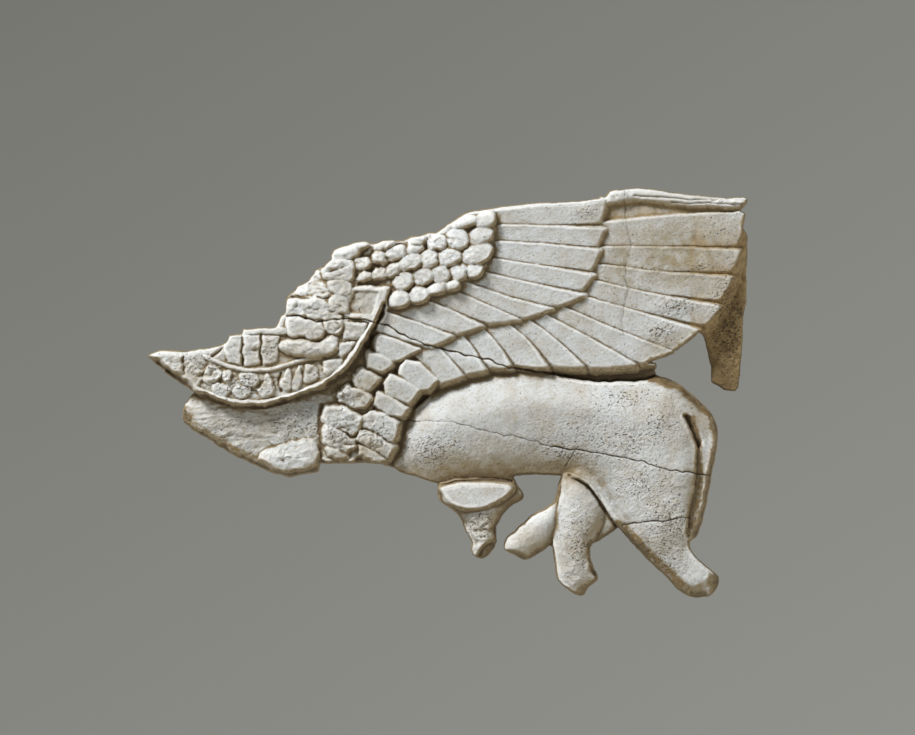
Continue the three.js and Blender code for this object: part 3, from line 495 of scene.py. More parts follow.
SECONDARIES = [
    [[8.3, 30.9], [19.9, 30.6], [30.2, 30.9], [31.7, 36.4]],
    [[7.8, 27.4], [18.8, 26.7], [29.6, 25.8], [31.5, 30.0]],
    [[7.0, 23.8], [17.7, 22.1], [28.3, 20.7], [30.6, 25.5]],
    [[5.7, 20.7], [15.6, 18.4], [26.3, 16.4], [29.3, 20.1]],
    [[1.8, 18.6], [10.9, 15.4], [20.5, 13.0], [27.4, 15.8]],
    [[1.0, 16.0], [7.0, 13.4], [13.4, 10.6], [20.5, 12.8]],
    [[-6.3, 14.5], [-0.5, 12.1], [5.7, 9.6], [13.4, 10.5]],
    [[-13.9, 11.7], [-7.6, 9.5], [-1.0, 7.2], [5.5, 9.1]],
    [[-16.0, 7.4], [-11.3, 5.6], [-6.1, 4.4], [-1.0, 7.0]],
]
HOLLOW = [[30.5, 37.0], [61.2, 35.4], [61.2, 33.8], [46.8, 32.9], [30.5, 31.4]]
plate(HOLLOW, HOLLOW_DEPTH)
between_tips = [[36.4, 0.9], [36.8, 2.8], [39.4, 2.8], [39.4, 1.2]]
plate(between_tips, HOLLOW_DEPTH)
primaries, seams = feather_row(
    PRIMARY_TOP, PRIMARIES, lambda x: PRIMARY_DEPTH - PRIMARY_THINNING * np.maximum(x, 0))
lay_over(primaries, slope=1.6, reach=1.7)

# The leading edge is a rail over a hollow band that narrows towards the tip.
rail_outline = rounded([
    [31.6, 36.0], [32.2, 37.4], [33.1, 38.2], [37.0, 38.6], [40.5, 38.7], [46.2, 37.8],
    [53.3, 37.1], [58.0, 36.7], [62.6, 36.5], [61.8, 34.6], [54.0, 34.4], [43.5, 35.3],
    [38.2, 35.9], [34.0, 35.2], [31.6, 34.8],
], closed=True)
rail = np.zeros_like(depth)
rail_part = around(rail_outline)
rail_edge, _ = distance_to(closed_line(rail_outline), X[rail_part], Z[rail_part])
rail[rail_part] = np.where(
    inside(rail_outline, X[rail_part], Z[rail_part]),
    RAIL_DEPTH - 0.7 * np.exp(-(rail_edge / 0.5) ** 2), 0)
lay_over(rail, slope=1.6, reach=0.9)

secondaries, secondary_seams = feather_row(
    SECONDARY_TOP, SECONDARIES,
    lambda x: SECONDARY_DEPTH - SECONDARY_THINNING * np.maximum(x, 0))
lay_over(secondaries, slope=1.4, reach=1.2)
seams = np.where(skirt(secondaries, 1.4, 1.2) > 0, secondary_seams, seams)

# Short feathers of the breast, in two columns beside the collar. Each is a flat-topped block that
# leans up towards its upper edge, with walls that lean outwards at its end.
INNER_BREAST_DEPTH = 9.4
OUTER_BREAST_DEPTH = 8.7
BREAST_LEAN = 0.1
BREAST = {
    OUTER_BREAST_DEPTH: [
        [[-11.1, 1.6], [-8.1, 0.8], [-4.2, -2.7], [-6.3, -4.8], [-8.1, -4.8], [-12.4, -1.4],
         [-12.1, 0.3]],
        [[-14.5, -1.6], [-11.5, -2.7], [-8.1, -4.8], [-10.4, -7.8], [-12.4, -7.0], [-15.4, -5.7],
         [-15.6, -3.5]],
        [[-17.1, -5.5], [-14.1, -6.6], [-10.9, -8.9], [-11.9, -10.6], [-14.9, -10.0],
         [-18.0, -7.8]],
        [[-18.8, -9.6], [-15.8, -10.0], [-12.8, -11.9], [-13.2, -15.2], [-14.1, -16.0],
         [-17.1, -14.3], [-20.5, -12.6], [-20.1, -10.4]],
        [[-21.0, -13.4], [-18.0, -14.3], [-13.7, -17.3], [-14.9, -19.5], [-18.0, -17.7],
         [-21.8, -15.6]],
        [[-21.4, -16.9], [-18.8, -17.7], [-15.8, -19.9], [-17.1, -20.5], [-21.0, -18.6]],
    ],
    INNER_BREAST_DEPTH: [
        [[-16.7, 7.0], [-13.2, 5.9], [-8.2, 3.9], [-12.4, 1.6], [-13.7, 1.4], [-17.3, 3.5],
         [-17.7, 5.5]],
        [[-19.0, 3.1], [-16.7, 2.7], [-14.3, 1.6], [-13.9, 0.5], [-16.2, -1.0], [-17.1, -0.8],
         [-19.2, 0.3]],
        [[-20.5, -0.5], [-18.8, -1.2], [-16.9, -2.7], [-18.8, -4.8], [-19.7, -5.1], [-22.3, -3.5],
         [-22.0, -1.8]],
        [[-23.8, -4.4], [-21.0, -4.8], [-18.8, -6.1], [-18.6, -6.8], [-20.1, -8.5], [-21.8, -8.5],
         [-25.3, -7.4], [-25.5, -6.1]],
        [[-28.1, -8.5], [-24.0, -8.7], [-20.5, -10.9], [-21.0, -12.6], [-22.3, -14.3],
         [-23.5, -13.9], [-27.4, -12.6], [-29.1, -10.9]],
        [[-28.3, -12.6], [-25.3, -13.7], [-22.5, -15.8], [-22.3, -17.1], [-24.0, -18.2],
         [-28.7, -16.0], [-29.0, -13.9]],
        [[-27.8, -17.3], [-25.7, -17.7], [-24.0, -19.0], [-24.8, -19.7], [-27.4, -18.6]],
    ],
}


def tile(outline, front, into, lean=0.0, ease=0.3, grow=0.0, crisp=False):
    """A flat-topped form with eased edges, which can lean up towards its top."""
    line = np.array(outline) if crisp else rounded(outline, closed=True, step=0.3)
    part = around(line, grow)
    x, z = X[part], Z[part]
    edge, _ = distance_to(closed_line(line), x, z)
    edge = np.where(inside(line, x, z), edge, -edge) + grow
    share = np.clip(edge / ease, 0, 1)
    height = front + lean * (z - np.mean(line[:, 1])) - ease * (1 - np.sqrt(1 - (1 - share) ** 2))
    into[part] = np.where(edge > 0, np.maximum(into[part], height), into[part])


for front, outlines in BREAST.items():
    column = np.zeros_like(depth)
    for outline in outlines:
        tile(outline, front, column, lean=BREAST_LEAN, ease=0.25, grow=0.1, crisp=True)
    lay_over(column, slope=1.9, reach=1.1)
    seams = np.where(column > 0, 0, seams)

# The shoulder: a low bank under rows of small round scales, which lap down towards the feathers.
# Each scale is a low pebble.
SHOULDER_DEPTH = 10.0
SCALE_RISE = 1.2
SCALE_TURN = 18
SCALE_LEAN = 18
SCALE_FLAT = 1.3
shoulder = np.zeros_like(depth)
tile([
    [-23.4, 26.2], [-16.7, 26.7], [-8.1, 28.2], [-4.6, 28.9], [-1.6, 31.0], [1.2, 33.0],
    [4.3, 33.8], [6.9, 34.0], [7.9, 33.4], [8.0, 30.8], [7.4, 26.8], [6.1, 22.2], [4.2, 19.4],
    [1.0, 18.4], [-0.6, 16.6], [-3.4, 15.6], [-7.2, 14.8], [-11.0, 13.8], [-14.6, 12.8],
    [-24.0, 12.0],
], SHOULDER_DEPTH, shoulder)
lay_over(shoulder, slope=1.2, reach=1.2)
seams = np.where(skirt(shoulder, 1.2, 1.2) > 0, 0, seams)


def new_knob_tree():
    """Sets a pebble on every point: its length, width, rise and turn are read from the point."""
    tree = bpy.data.node_groups.new("carved_knobs", "GeometryNodeTree")
    tree.interface.new_socket("Geometry", in_out="OUTPUT", socket_type="NodeSocketGeometry")
    tree.interface.new_socket("Points", in_out="INPUT", socket_type="NodeSocketGeometry")
    taper = tree.interface.new_socket("Taper", in_out="INPUT", socket_type="NodeSocketFloat")
    squareness = tree.interface.new_socket(
        "Squareness", in_out="INPUT", socket_type="NodeSocketFloat")
    seed = tree.interface.new_socket("Seed", in_out="INPUT", socket_type="NodeSocketInt")
    finish = tree.interface.new_socket("Finish", in_out="INPUT", socket_type="NodeSocketMaterial")
    nodes, links = tree.nodes, tree.links
    given = nodes.new("NodeGroupInput")
    made = nodes.new("NodeGroupOutput")

    block = nodes.new("GeometryNodeMeshCube")
    block.inputs["Size"].default_value = (1, 1, 1)
    pebble = nodes.new("GeometryNodeSubdivisionSurface")
    pebble.inputs["Level"].default_value = 4
    links.new(block.outputs["Mesh"], pebble.inputs["Mesh"])
    links.new(given.outputs["Squareness"], pebble.inputs["Edge Crease"])

    # One end is narrower: across = across * (1 - taper * (0.5 - along)).
    place = nodes.new("GeometryNodeInputPosition")
    parts = nodes.new("ShaderNodeSeparateXYZ")
    links.new(place.outputs["Position"], parts.inputs[0])
    from_end = nodes.new("ShaderNodeMath")
    from_end.operation = "SUBTRACT"
    from_end.inputs[0].default_value = 0.5
    links.new(parts.outputs["X"], from_end.inputs[1])
    narrowing = nodes.new("ShaderNodeMath")
    narrowing.operation = "MULTIPLY"
    links.new(given.outputs["Taper"], narrowing.inputs[0])
    links.new(from_end.outputs[0], narrowing.inputs[1])
    keep = nodes.new("ShaderNodeMath")
    keep.operation = "SUBTRACT"
    keep.inputs[0].default_value = 1.0
    links.new(narrowing.outputs[0], keep.inputs[1])
    across = nodes.new("ShaderNodeMath")
    across.operation = "MULTIPLY"
    links.new(parts.outputs["Z"], across.inputs[0])
    links.new(keep.outputs[0], across.inputs[1])
    joined = nodes.new("ShaderNodeCombineXYZ")
    links.new(parts.outputs["X"], joined.inputs["X"])
    links.new(parts.outputs["Y"], joined.inputs["Y"])
    links.new(across.outputs[0], joined.inputs["Z"])
    shape = nodes.new("GeometryNodeSetPosition")
    links.new(pebble.outputs["Mesh"], shape.inputs["Geometry"])
    links.new(joined.outputs[0], shape.inputs["Position"])

    def read(name, kind):
        node = nodes.new("GeometryNodeInputNamedAttribute")
        node.data_type = kind
        node.inputs["Name"].default_value = name
        return node.outputs["Attribute"]

    hand = nodes.new("FunctionNodeRandomValue")
    hand.data_type = "FLOAT_VECTOR"
    hand.inputs["Min"].default_value = (0.94, 0.8, 0.92)
    hand.inputs["Max"].default_value = (1.06, 1.15, 1.08)
    links.new(given.outputs["Seed"], hand.inputs["Seed"])
    size = nodes.new("ShaderNodeVectorMath")
    size.operation = "MULTIPLY"
    links.new(read("size", "FLOAT_VECTOR"), size.inputs[0])
    links.new(hand.outputs["Value"], size.inputs[1])

    setting = nodes.new("GeometryNodeInstanceOnPoints")
    links.new(given.outputs["Points"], setting.inputs["Points"])
    links.new(shape.outputs["Geometry"], setting.inputs["Instance"])
    links.new(read("turn", "FLOAT_VECTOR"), setting.inputs["Rotation"])
    links.new(size.outputs[0], setting.inputs["Scale"])
    real = nodes.new("GeometryNodeRealizeInstances")
    links.new(setting.outputs["Instances"], real.inputs["Geometry"])
    dressed = nodes.new("GeometryNodeSetMaterial")
    links.new(real.outputs["Geometry"], dressed.inputs["Geometry"])
    links.new(given.outputs["Finish"], dressed.inputs["Material"])
    links.new(dressed.outputs["Geometry"], made.inputs["Geometry"])
    names = {"taper": taper, "squareness": squareness, "seed": seed, "finish": finish}
    return tree, {name: socket.identifier for name, socket in names.items()}


ivory = bpy.data.materials.new("worn_ivory")
knob_tree, knob_inputs = new_knob_tree()
KNOB_STRETCH = 1.52
FREE_END = Vector((0.6, 0, -0.8))


def knob_angles(turn, lean):
    """Turned in the face, then leaning forward at the free end, which points down and right."""
    hinge = Vector((FREE_END.z, 0, -FREE_END.x))
    leaning = Matrix.Rotation(math.radians(lean), 3, hinge)
    return (leaning @ Matrix.Rotation(-math.radians(turn), 3, "Y")).to_euler("XYZ")


def carve_knobs(name, knobs, lean, taper, squareness, seed, flat):
    """Knobs given as (x, z, depth of the foot, length, width, rise, turn in degrees)."""
    points = bpy.data.meshes.new(name)
    points.from_pydata([(x, -foot, z) for x, z, foot, *_ in knobs], [], [])
    sizes = points.attributes.new("size", "FLOAT_VECTOR", "POINT")
    turns = points.attributes.new("turn", "FLOAT_VECTOR", "POINT")
    sizes.data.foreach_set("vector", [
        size * KNOB_STRETCH for *_, length, width, rise, turn in knobs
        for size in (length, 2 * rise, width)])
    turns.data.foreach_set("vector", [
        angle for *_, turn in knobs for angle in knob_angles(turn, lean)])
    holder = bpy.data.objects.new(name, points)
    bpy.context.scene.collection.objects.link(holder)
    setter = holder.modifiers.new("knobs", "NODES")
    setter.node_group = knob_tree
    setter[knob_inputs["taper"]] = taper
    setter[knob_inputs["squareness"]] = squareness
    setter[knob_inputs["seed"]] = seed
    setter[knob_inputs["finish"]] = ivory
    made = bpy.data.meshes.new_from_object(
        holder.evaluated_get(bpy.context.evaluated_depsgraph_get()))
    tree = BVHTree.FromPolygons(
        [v.co for v in made.vertices], [list(p.vertices) for p in made.polygons])
    for x, z, foot, length, width, rise, _ in knobs:
        part = around(np.array([[x, z]]), max(length, width) * 0.7)
        limit = foot + rise * flat
        for row in range(part[0].start, part[0].stop):
            for column in range(part[1].start, part[1].stop):
                hit = tree.ray_cast((X[row, column], -30, Z[row, column]), (0, 1, 0))[0]
                if hit is not None:
                    height = min(-hit.y, limit + 0.25 * (-hit.y - limit))
                    depth[row, column] = max(depth[row, column], height)
    bpy.data.objects.remove(holder)


SCALES = [
    (5.9, 31.7, 3.9, 3.4), (4.8, 28.4, 4.9, 3.7), (3.8, 24.5, 6.0, 4.3), (3.6, 21.1, 3.2, 3.4),
    (-0.1, 27.8, 3.9, 4.3), (-2.0, 23.8, 4.7, 3.7), (0.1, 20.7, 3.4, 3.7), (-3.8, 20.3, 3.7, 4.1),
    (-6.3, 23.3, 3.4, 3.9), (-4.4, 26.6, 4.1, 3.2), (-7.6, 19.9, 4.1, 4.1),
    (-10.4, 22.5, 4.7, 3.4), (-4.4, 16.9, 4.1, 2.6), (-0.9, 17.5, 2.8, 2.2),
    (-8.3, 15.6, 4.1, 3.4), (-11.7, 18.8, 3.9, 3.9), (-13.9, 21.0, 3.4, 2.6),
    (-12.5, 14.6, 3.7, 3.7), (-9.3, 25.3, 3.4, 1.9), (-13.2, 24.4, 3.9, 2.6),
    (-8.5, 27.0, 3.4, 1.7), (-16.7, 23.5, 3.0, 3.0), (-20.5, 22.3, 3.0, 2.8),
    (-24.0, 24.4, 5.6, 3.0), (-21.0, 26.0, 3.9, 1.9), (1.6, 31.1, 4.7, 2.2),
    (-16.9, 20.0, 3.2, 2.4), (-20.0, 19.3, 3.2, 2.2), (-15.6, 26.2, 3.8, 2.0),
]
carve_knobs("shoulder_scales", [
    (x, z, SHOULDER_DEPTH, length, width, SCALE_RISE, SCALE_TURN) for x, z, length, width in SCALES
], SCALE_LEAN, taper=0.15, squareness=0.1, seed=3, flat=SCALE_FLAT)

# The broad collar: a crescent plate with a raised rim and a ridge. Between the two stands a row
# of drops, much worn, and above the ridge and up the right side the blocks of the inner band.
COLLAR_DEPTH = 10.5
COLLAR_RELIEF_DEPTH = 11.1
COLLAR_RIM_DEPTH = 11.5
collar_outline = [
    [-66.9, 2.2], [-66.6, 2.9], [-64.0, 3.7], [-61.8, 3.8], [-58.1, 3.5], [-55.4, 4.1],
    [-53.2, 4.3], [-51.1, 4.8], [-49.6, 5.7], [-49.0, 6.9], [-48.9, 7.1], [-46.5, 7.1],
    [-45.9, 7.8], [-44.6, 8.1], [-39.7, 8.4], [-36.0, 8.1], [-24.2, 17.0], [-14.9, 17.0],
    [-15.8, 13.4], [-17.0, 9.8], [-18.8, 7.0], [-21.2, 2.4], [-23.7, -0.6], [-27.6, -3.4],
    [-31.8, -5.6], [-36.1, -7.1], [-40.5, -8.4], [-44.8, -8.7], [-48.7, -8.1], [-53.4, -6.8],
    [-57.6, -4.9], [-60.9, -2.0], [-64.7, 1.0],
]
plate(collar_outline, COLLAR_DEPTH)


def roll(line, width, height, rise):
    """A rounded moulding along a line."""
    line = rounded(line)
    part = around(line, width)
    away, _ = distance_to(line, X[part], Z[part])
    share = np.clip(1 - (2 * away / width) ** 2, 0, 1)
    raise_to(part, height - rise + rise * np.sqrt(share), away < width / 2)


COLLAR_RIM = [
    [-62.6, -0.4], [-60.2, -2.2], [-57.0, -4.3], [-53.0, -6.2], [-48.6, -7.4], [-44.8, -7.9],
    [-40.7, -7.6], [-36.0, -6.4], [-31.7, -4.8], [-27.8, -2.8], [-24.4, 0.0], [-21.8, 3.2],
    [-19.6, 7.1], [-17.6, 10.4], [-16.3, 14.1], [-15.6, 16.8],
]
COLLAR_RIDGE = [
    [-54.3, 2.3], [-50.6, 0.8], [-46.1, -0.4], [-42.5, -0.6], [-39.2, -0.2], [-34.9, 1.1],
    [-31.3, 1.9], [-29.4, 2.0],
]
roll(COLLAR_RIM, 1.6, COLLAR_RIM_DEPTH, 0.8)
roll(COLLAR_RIDGE, 0.9, COLLAR_RELIEF_DEPTH, 0.5)

relief = np.zeros_like(depth)
DROPS = [
    [[-57.1, 0.8], [-55.1, -0.6], [-54.9, -2.9], [-56.5, -4.2], [-58.5, -2.9], [-58.6, -0.6]],
    [[-53.9, 0.4], [-51.7, -0.2], [-50.8, -1.8], [-52.5, -3.5], [-54.4, -2.9]],
    [[-50.4, -0.6], [-48.6, -1.1], [-48.8, -2.9], [-50.3, -2.7]],
    [[-52.6, -3.9], [-50.2, -3.6], [-48.6, -4.9], [-49.6, -6.3], [-52.4, -5.5]],
    [[-46.4, -1.6], [-43.7, -1.4], [-42.6, -2.9], [-44.3, -4.0], [-46.3, -3.3]],
    [[-47.6, -3.9], [-44.8, -4.3], [-44.4, -5.8], [-46.5, -6.7], [-48.1, -5.4]],
    [[-41.0, -1.4], [-40.0, -3.2], [-39.4, -4.9], [-39.9, -6.1], [-41.8, -6.3], [-42.7, -4.8],
     [-41.8, -3.2]],
    [[-36.2, -0.2], [-35.6, -2.4], [-36.1, -4.6], [-38.2, -4.4], [-37.2, -1.8]],
    [[-34.0, 0.3], [-33.3, -1.8], [-34.0, -4.3], [-35.5, -4.6], [-34.9, -1.8]],
    [[-32.2, 0.6], [-30.1, -0.9], [-30.5, -2.7], [-32.8, -3.2], [-32.6, -1.3]],
    [[-29.0, 1.1], [-26.3, 1.8], [-24.7, 1.6], [-25.6, -0.1], [-28.3, -1.4]],
]
for outline in DROPS:
    tile(outline, COLLAR_RELIEF_DEPTH, relief, ease=0.5, grow=0.1)
BLOCKS = [
    [[-49.0, 6.9], [-46.6, 7.0], [-46.5, 4.0], [-46.5, 1.0], [-49.1, 1.3], [-49.8, 2.9],
     [-50.0, 4.6]],
    [[-45.9, 6.8], [-42.6, 6.8], [-42.3, 3.8], [-42.7, 0.9], [-45.5, 0.6], [-46.0, 3.8]],
    [[-41.8, 6.7], [-38.4, 6.6], [-38.6, 4.2], [-38.8, 1.4], [-41.7, 0.8], [-41.9, 3.8]],
    [[-46.1, 8.3], [-42.0, 8.5], [-37.1, 8.6], [-36.4, 7.8], [-37.3, 7.2], [-42.0, 7.4],
     [-45.9, 7.2]],
    [[-24.2, 9.6], [-19.7, 9.5], [-20.5, 7.2], [-21.6, 6.1], [-24.6, 6.4]],
    [[-24.8, 5.4], [-22.0, 5.4], [-23.1, 3.5], [-24.8, 2.2], [-25.7, 2.7]],
    [[-66.1, 2.0], [-64.0, 2.9], [-61.4, 3.1], [-59.2, 2.5], [-59.0, -1.0], [-61.8, -1.2],
     [-64.4, 0.3]],
]
for outline in BLOCKS:
    tile(outline, COLLAR_RELIEF_DEPTH, relief, lean=0.03, ease=0.25, grow=0.15, crisp=True)
tile([
    [-23.9, 17.2], [-19.0, 17.3], [-14.7, 17.1], [-16.0, 11.1], [-17.2, 9.3], [-19.7, 10.2],
    [-24.3, 11.0],
], COLLAR_RIM_DEPTH - 0.1, relief, ease=0.3, crisp=True)
lay_over(relief, slope=2.4, reach=0.5)

# The framed end of the collar is sunk inside its frame.
PANEL_DEPTH = 10.9
panel = np.array([[-22.4, 16.6], [-16.6, 16.5], [-17.6, 13.0], [-18.5, 11.0], [-23.4, 11.9]])
panel_part = around(panel)
panel_mask = inside(panel, X[panel_part], Z[panel_part])
panel_edge, _ = distance_to(closed_line(panel), X[panel_part], Z[panel_part])
depth[panel_part] = np.where(
    panel_mask,
    np.minimum(depth[panel_part], np.maximum(PANEL_DEPTH, COLLAR_RIM_DEPTH - 1.6 * panel_edge)),
    depth[panel_part])

# The stump of the neck: it broke away in flakes towards the upper left, and keeps some locks of
# the wig, which fall on the collar as worn rolls and curls.
NECK_EDGE_DEPTH = 8.4
NECK_SLOPE = 0.55
NECK_DEPTH = 11.0
LOCK_DEPTH = 12.1
CURL_DEPTH = 11.8
LEDGE = 1.5
LEDGE_STEP = 0.3
neck = np.array([
    [-39.4, 8.0], [-39.4, 8.5], [-38.2, 11.0], [-36.9, 11.9], [-36.8, 14.5], [-36.6, 15.2],
    [-35.5, 16.2], [-33.2, 18.1], [-31.9, 18.9], [-30.9, 20.4], [-30.2, 21.2], [-28.9, 21.7],
    [-27.4, 22.4], [-27.0, 23.6], [-26.3, 24.0], [-25.3, 24.8], [-23.1, 26.8], [-19.7, 26.8],
    [-18.8, 22.7], [-21.6, 17.4], [-23.4, 10.6], [-24.2, 6.0], [-25.8, 3.4], [-33.9, 2.6],
    [-37.6, 4.0],
])
broken_edge = neck[:18]
neck_part = around(neck)
x, z = X[neck_part], Z[neck_part]
from_break, _ = distance_to(broken_edge, x, z)
flakes = (z + 0.1 * x + 0.45 * grain(31, 3.0, 1.2)[neck_part]) / LEDGE
flakes = flakes - np.floor(flakes)
raise_to(
    neck_part,
    np.minimum(NECK_EDGE_DEPTH + NECK_SLOPE * from_break, NECK_DEPTH) - LEDGE_STEP * flakes,
    inside(neck, x, z))

wig = np.zeros_like(depth)
tile([
    [-38.4, 4.2], [-37.9, 5.7], [-36.0, 6.5], [-32.8, 6.3], [-30.0, 5.7], [-28.7, 6.6],
    [-27.4, 7.1], [-25.7, 6.8], [-25.3, 4.8], [-26.3, 2.9], [-29.6, 1.9], [-33.9, 2.1],
    [-37.3, 2.9],
], LOCK_DEPTH, wig, ease=1.7)
CURLS = [
    [[-36.2, 10.4], [-33.2, 10.2], [-32.6, 8.5], [-33.3, 7.1], [-36.0, 7.4]],
    [[-32.8, 9.8], [-30.0, 9.6], [-28.7, 7.8], [-29.6, 6.5], [-32.4, 6.7]],
    [[-28.3, 11.5], [-25.7, 11.3], [-24.8, 9.6], [-25.7, 7.6], [-28.0, 8.1]],
    [[-32.6, 14.1], [-30.0, 14.3], [-27.8, 13.2], [-27.6, 11.3], [-29.6, 10.4], [-31.9, 11.1]],
    [[-27.2, 15.0], [-24.8, 15.3], [-23.5, 14.1], [-23.7, 12.1], [-25.9, 11.9], [-27.2, 13.2]],
    [[-27.2, 18.3], [-24.2, 18.4], [-22.9, 17.3], [-23.3, 15.9], [-25.7, 15.8], [-27.0, 16.7]],
    [[-28.3, 21.8], [-25.7, 22.8], [-22.7, 22.5], [-22.3, 19.9], [-23.3, 18.8], [-26.1, 19.2],
     [-28.1, 19.7]],
    [[-36.2, 13.7], [-32.8, 13.9], [-32.8, 11.5], [-36.2, 11.4]],
]
for outline in CURLS:
    tile(outline, CURL_DEPTH, wig, ease=0.45, grow=0.3)
neck_flake = [[-39.1, 8.3], [-38.0, 10.8], [-36.8, 12.0], [-35.9, 11.2], [-36.0, 8.4]]
tile(neck_flake, NECK_DEPTH - 0.4, wig, ease=0.4, crisp=True)
lay_over(wig, slope=2.2, reach=0.6)

# The lip of the flower lies free over the stem, under a recess at the belly.
LIP = [
    [-3.6, -25.9], [-2.7, -27.8], [-1.2, -29.3], [1.0, -30.2], [4.2, -30.3], [7.0, -29.6],
    [8.9, -28.6], [10.9, -27.0], [11.7, -25.9], [10.9, -25.3], [7.6, -24.8], [3.8, -24.7],
    [0.5, -24.8], [-2.0, -25.3],
]
lip = np.zeros_like(depth)
tile(LIP, LIP_DEPTH, lip, lean=-0.1, ease=0.25)
lay_over(lip, slope=2.0, reach=0.8)

# Breaks and cuts. Some edges are cut back to a slant, which the front view shows as a tan band.
# Facets are where a limb broke off, and furrows part the forms that lie one over the other.
SLANTS = [
    ([[-59.4, -10.2], [-57.5, -13.5], [-53.2, -16.0], [-48.9, -18.6], [-44.6, -20.7],
      [-41.4, -22.3]], 2.4, 4.6, 1.1),
    ([[-41.4, -22.3], [-36.2, -23.8], [-33.9, -23.2], [-30.0, -22.5], [-29.1, -20.8]], 1.4, 4.8, 0.7),
    ([[-29.1, -21.0], [-24.2, -21.4], [-17.7, -21.2], [-13.9, -22.2]], 1.2, 4.4, 0.9),
    ([[42.5, -1.8], [45.9, -3.0], [48.5, -3.5], [50.4, -5.5], [53.9, -8.7], [55.0, -10.0]],
     2.0, 5.2, 1.7),
    ([[54.9, -9.8], [56.3, -13.6], [56.0, -17.6], [55.0, -23.0], [53.8, -29.5], [52.5, -34.4],
      [51.6, -36.4]], 2.0, 5.2, 1.2),
    # Along the collar's lower edge the brown of the slant is also painted shade.
    ([[-64.7, 1.0], [-60.9, -2.0], [-57.6, -4.9], [-53.4, -6.8], [-48.7, -8.1], [-44.8, -8.7],
      [-40.5, -8.4], [-36.1, -7.1], [-31.8, -5.6], [-27.6, -3.4], [-23.7, -0.6], [-21.2, 2.4],
      [-18.8, 7.0], [-17.0, 9.8], [-15.8, 13.4]], 0.6, 8.0, 0.45),
    ([[34.7, -35.2], [38.4, -38.8], [42.9, -43.5], [47.4, -47.8], [50.4, -49.7]], 2.5, 4.8, 1.4),
    ([[31.5, -36.9], [29.1, -38.2], [28.6, -41.2], [30.0, -44.4], [30.4, -45.7]], 1.0, 4.6, 0.7),
    ([[17.7, -40.0], [14.7, -41.6], [12.4, -40.6]], 1.2, 4.2, 0.6),
    ([[14.5, -27.8], [11.7, -30.0], [9.1, -32.8], [8.0, -36.0]], 1.4, 3.8, 0.8),
    ([[-4.4, -26.8], [-2.7, -29.6], [0.0, -31.7], [1.8, -36.0]], 0.9, 3.6, 0.8),
    ([[-66.9, 2.2], [-64.7, 1.0], [-61.8, -1.1], [-57.5, -5.0]], 1.0, 7.0, 0.8),
    ([[-12.8, -22.2], [-9.1, -23.6], [-5.3, -25.6]], 1.2, 4.4, 0.9),
]
raggedness = 0.14 * grain(41, 1.6) + 0.05 * grain(42, 0.5)
slanted = np.zeros_like(depth)
for line, width, low, brownness in SLANTS:
    line = rounded(line)
    part = around(line, width + 1.5)
    away, _ = distance_to(line, X[part], Z[part])
    away = np.maximum(away + raggedness[part], 0)
    limit = low + (10.5 - low) * (away / width) ** 1.3
    slanted[part] = np.maximum(slanted[part], brownness * np.clip((width - away) / 0.5, 0, 1))
    depth[part] = np.where(depth[part] > 0, np.minimum(depth[part], limit), 0)

FACETS = [
    ([[48.6, -10.2], [53.4, -10.0], [53.4, -14.0], [51.9, -17.6], [50.7, -14.5]],
     (49.6, -12.2, 6.6), (0.9, 0.5)),
    ([[54.0, -43.0], [53.6, -46.4], [53.8, -50.5], [57.5, -50.0], [57.5, -43.0]],
     (53.8, -46.0, 7.6), (-1.5, 0.2)),
    ([[50.3, -46.8], [53.7, -46.6], [54.0, -50.5], [50.0, -50.5]], (52.0, -46.8, 7.4), (0.1, 1.1)),
    ([[26.0, -45.4], [30.8, -43.6], [31.0, -50.0], [24.0, -50.0]], (26.8, -46.2, 7.6), (-0.7, 0.9)),
    ([[9.8, -38.4], [12.9, -39.4], [15.5, -41.2], [13.0, -42.5], [9.0, -40.5]],
     (12.4, -39.4, 6.4), (0.5, 1.6)),
    ([[6.0, -38.0], [8.8, -37.2], [8.8, -41.0], [4.0, -41.8], [4.4, -40.2]],
     (6.6, -38.6, 5.0), (-0.2, 0.6)),
]
for outline, (x0, z0, height), (across, up) in FACETS:
    outline = np.array(outline)
    part = around(outline)
    x, z = X[part], Z[part]
    plane = height + across * (x - x0) + up * (z - z0) + 0.5 * raggedness[part]
    cut = inside(outline, x, z) & (depth[part] > 0)
    depth[part] = np.where(cut, np.maximum(np.minimum(depth[part], plane), 1.5), depth[part])

FURROWS = [
    ([[24.0, -23.2], [27.0, -24.6], [28.5, -25.9], [30.0, -28.0], [31.3, -30.2], [32.8, -32.1],
      [34.1, -34.1], [35.0, -35.2]], 0.25, 0.9),
    ([[-5.6, -25.6], [-2.2, -25.0], [0.5, -24.5], [4.0, -24.3], [8.0, -24.3], [11.6, -24.6]], 0.3, 1.6),
    ([[-29.4, -8.0], [-29.7, -12.0], [-29.2, -16.0], [-29.5, -20.8]], 0.45, 0.5),
    ([[38.0, 36.9], [44.0, 36.6], [50.0, 36.2], [56.0, 35.9]], 0.16, 0.5),
    ([[46.0, 35.6], [53.0, 35.3], [61.5, 35.0]], 0.16, 0.6),
    ([[52.0, 36.9], [57.0, 36.0], [62.0, 35.8]], 0.13, 0.4),
    ([[-50.2, 5.0], [-51.1, 3.4], [-52.6, 2.4]], 0.3, 0.7),
    ([[-46.2, 7.0], [-46.2, 4.0], [-46.0, 0.6]], 0.2, 0.6),
    ([[-42.1, 7.0], [-42.1, 4.0], [-42.2, 0.6]], 0.2, 0.6),
    ([[-58.9, 2.3], [-59.0, 0.5], [-58.8, -1.2]], 0.2, 0.6),
    ([[-37.9, -1.2], [-38.4, -3.0], [-37.9, -4.9]], 0.25, 0.6),
    ([[-34.0, 15.1], [-32.4, 14.8], [-31.2, 14.9]], 0.2, 0.7),
    ([[-30.0, 14.9], [-28.5, 14.7], [-27.2, 15.2]], 0.2, 0.7),
]
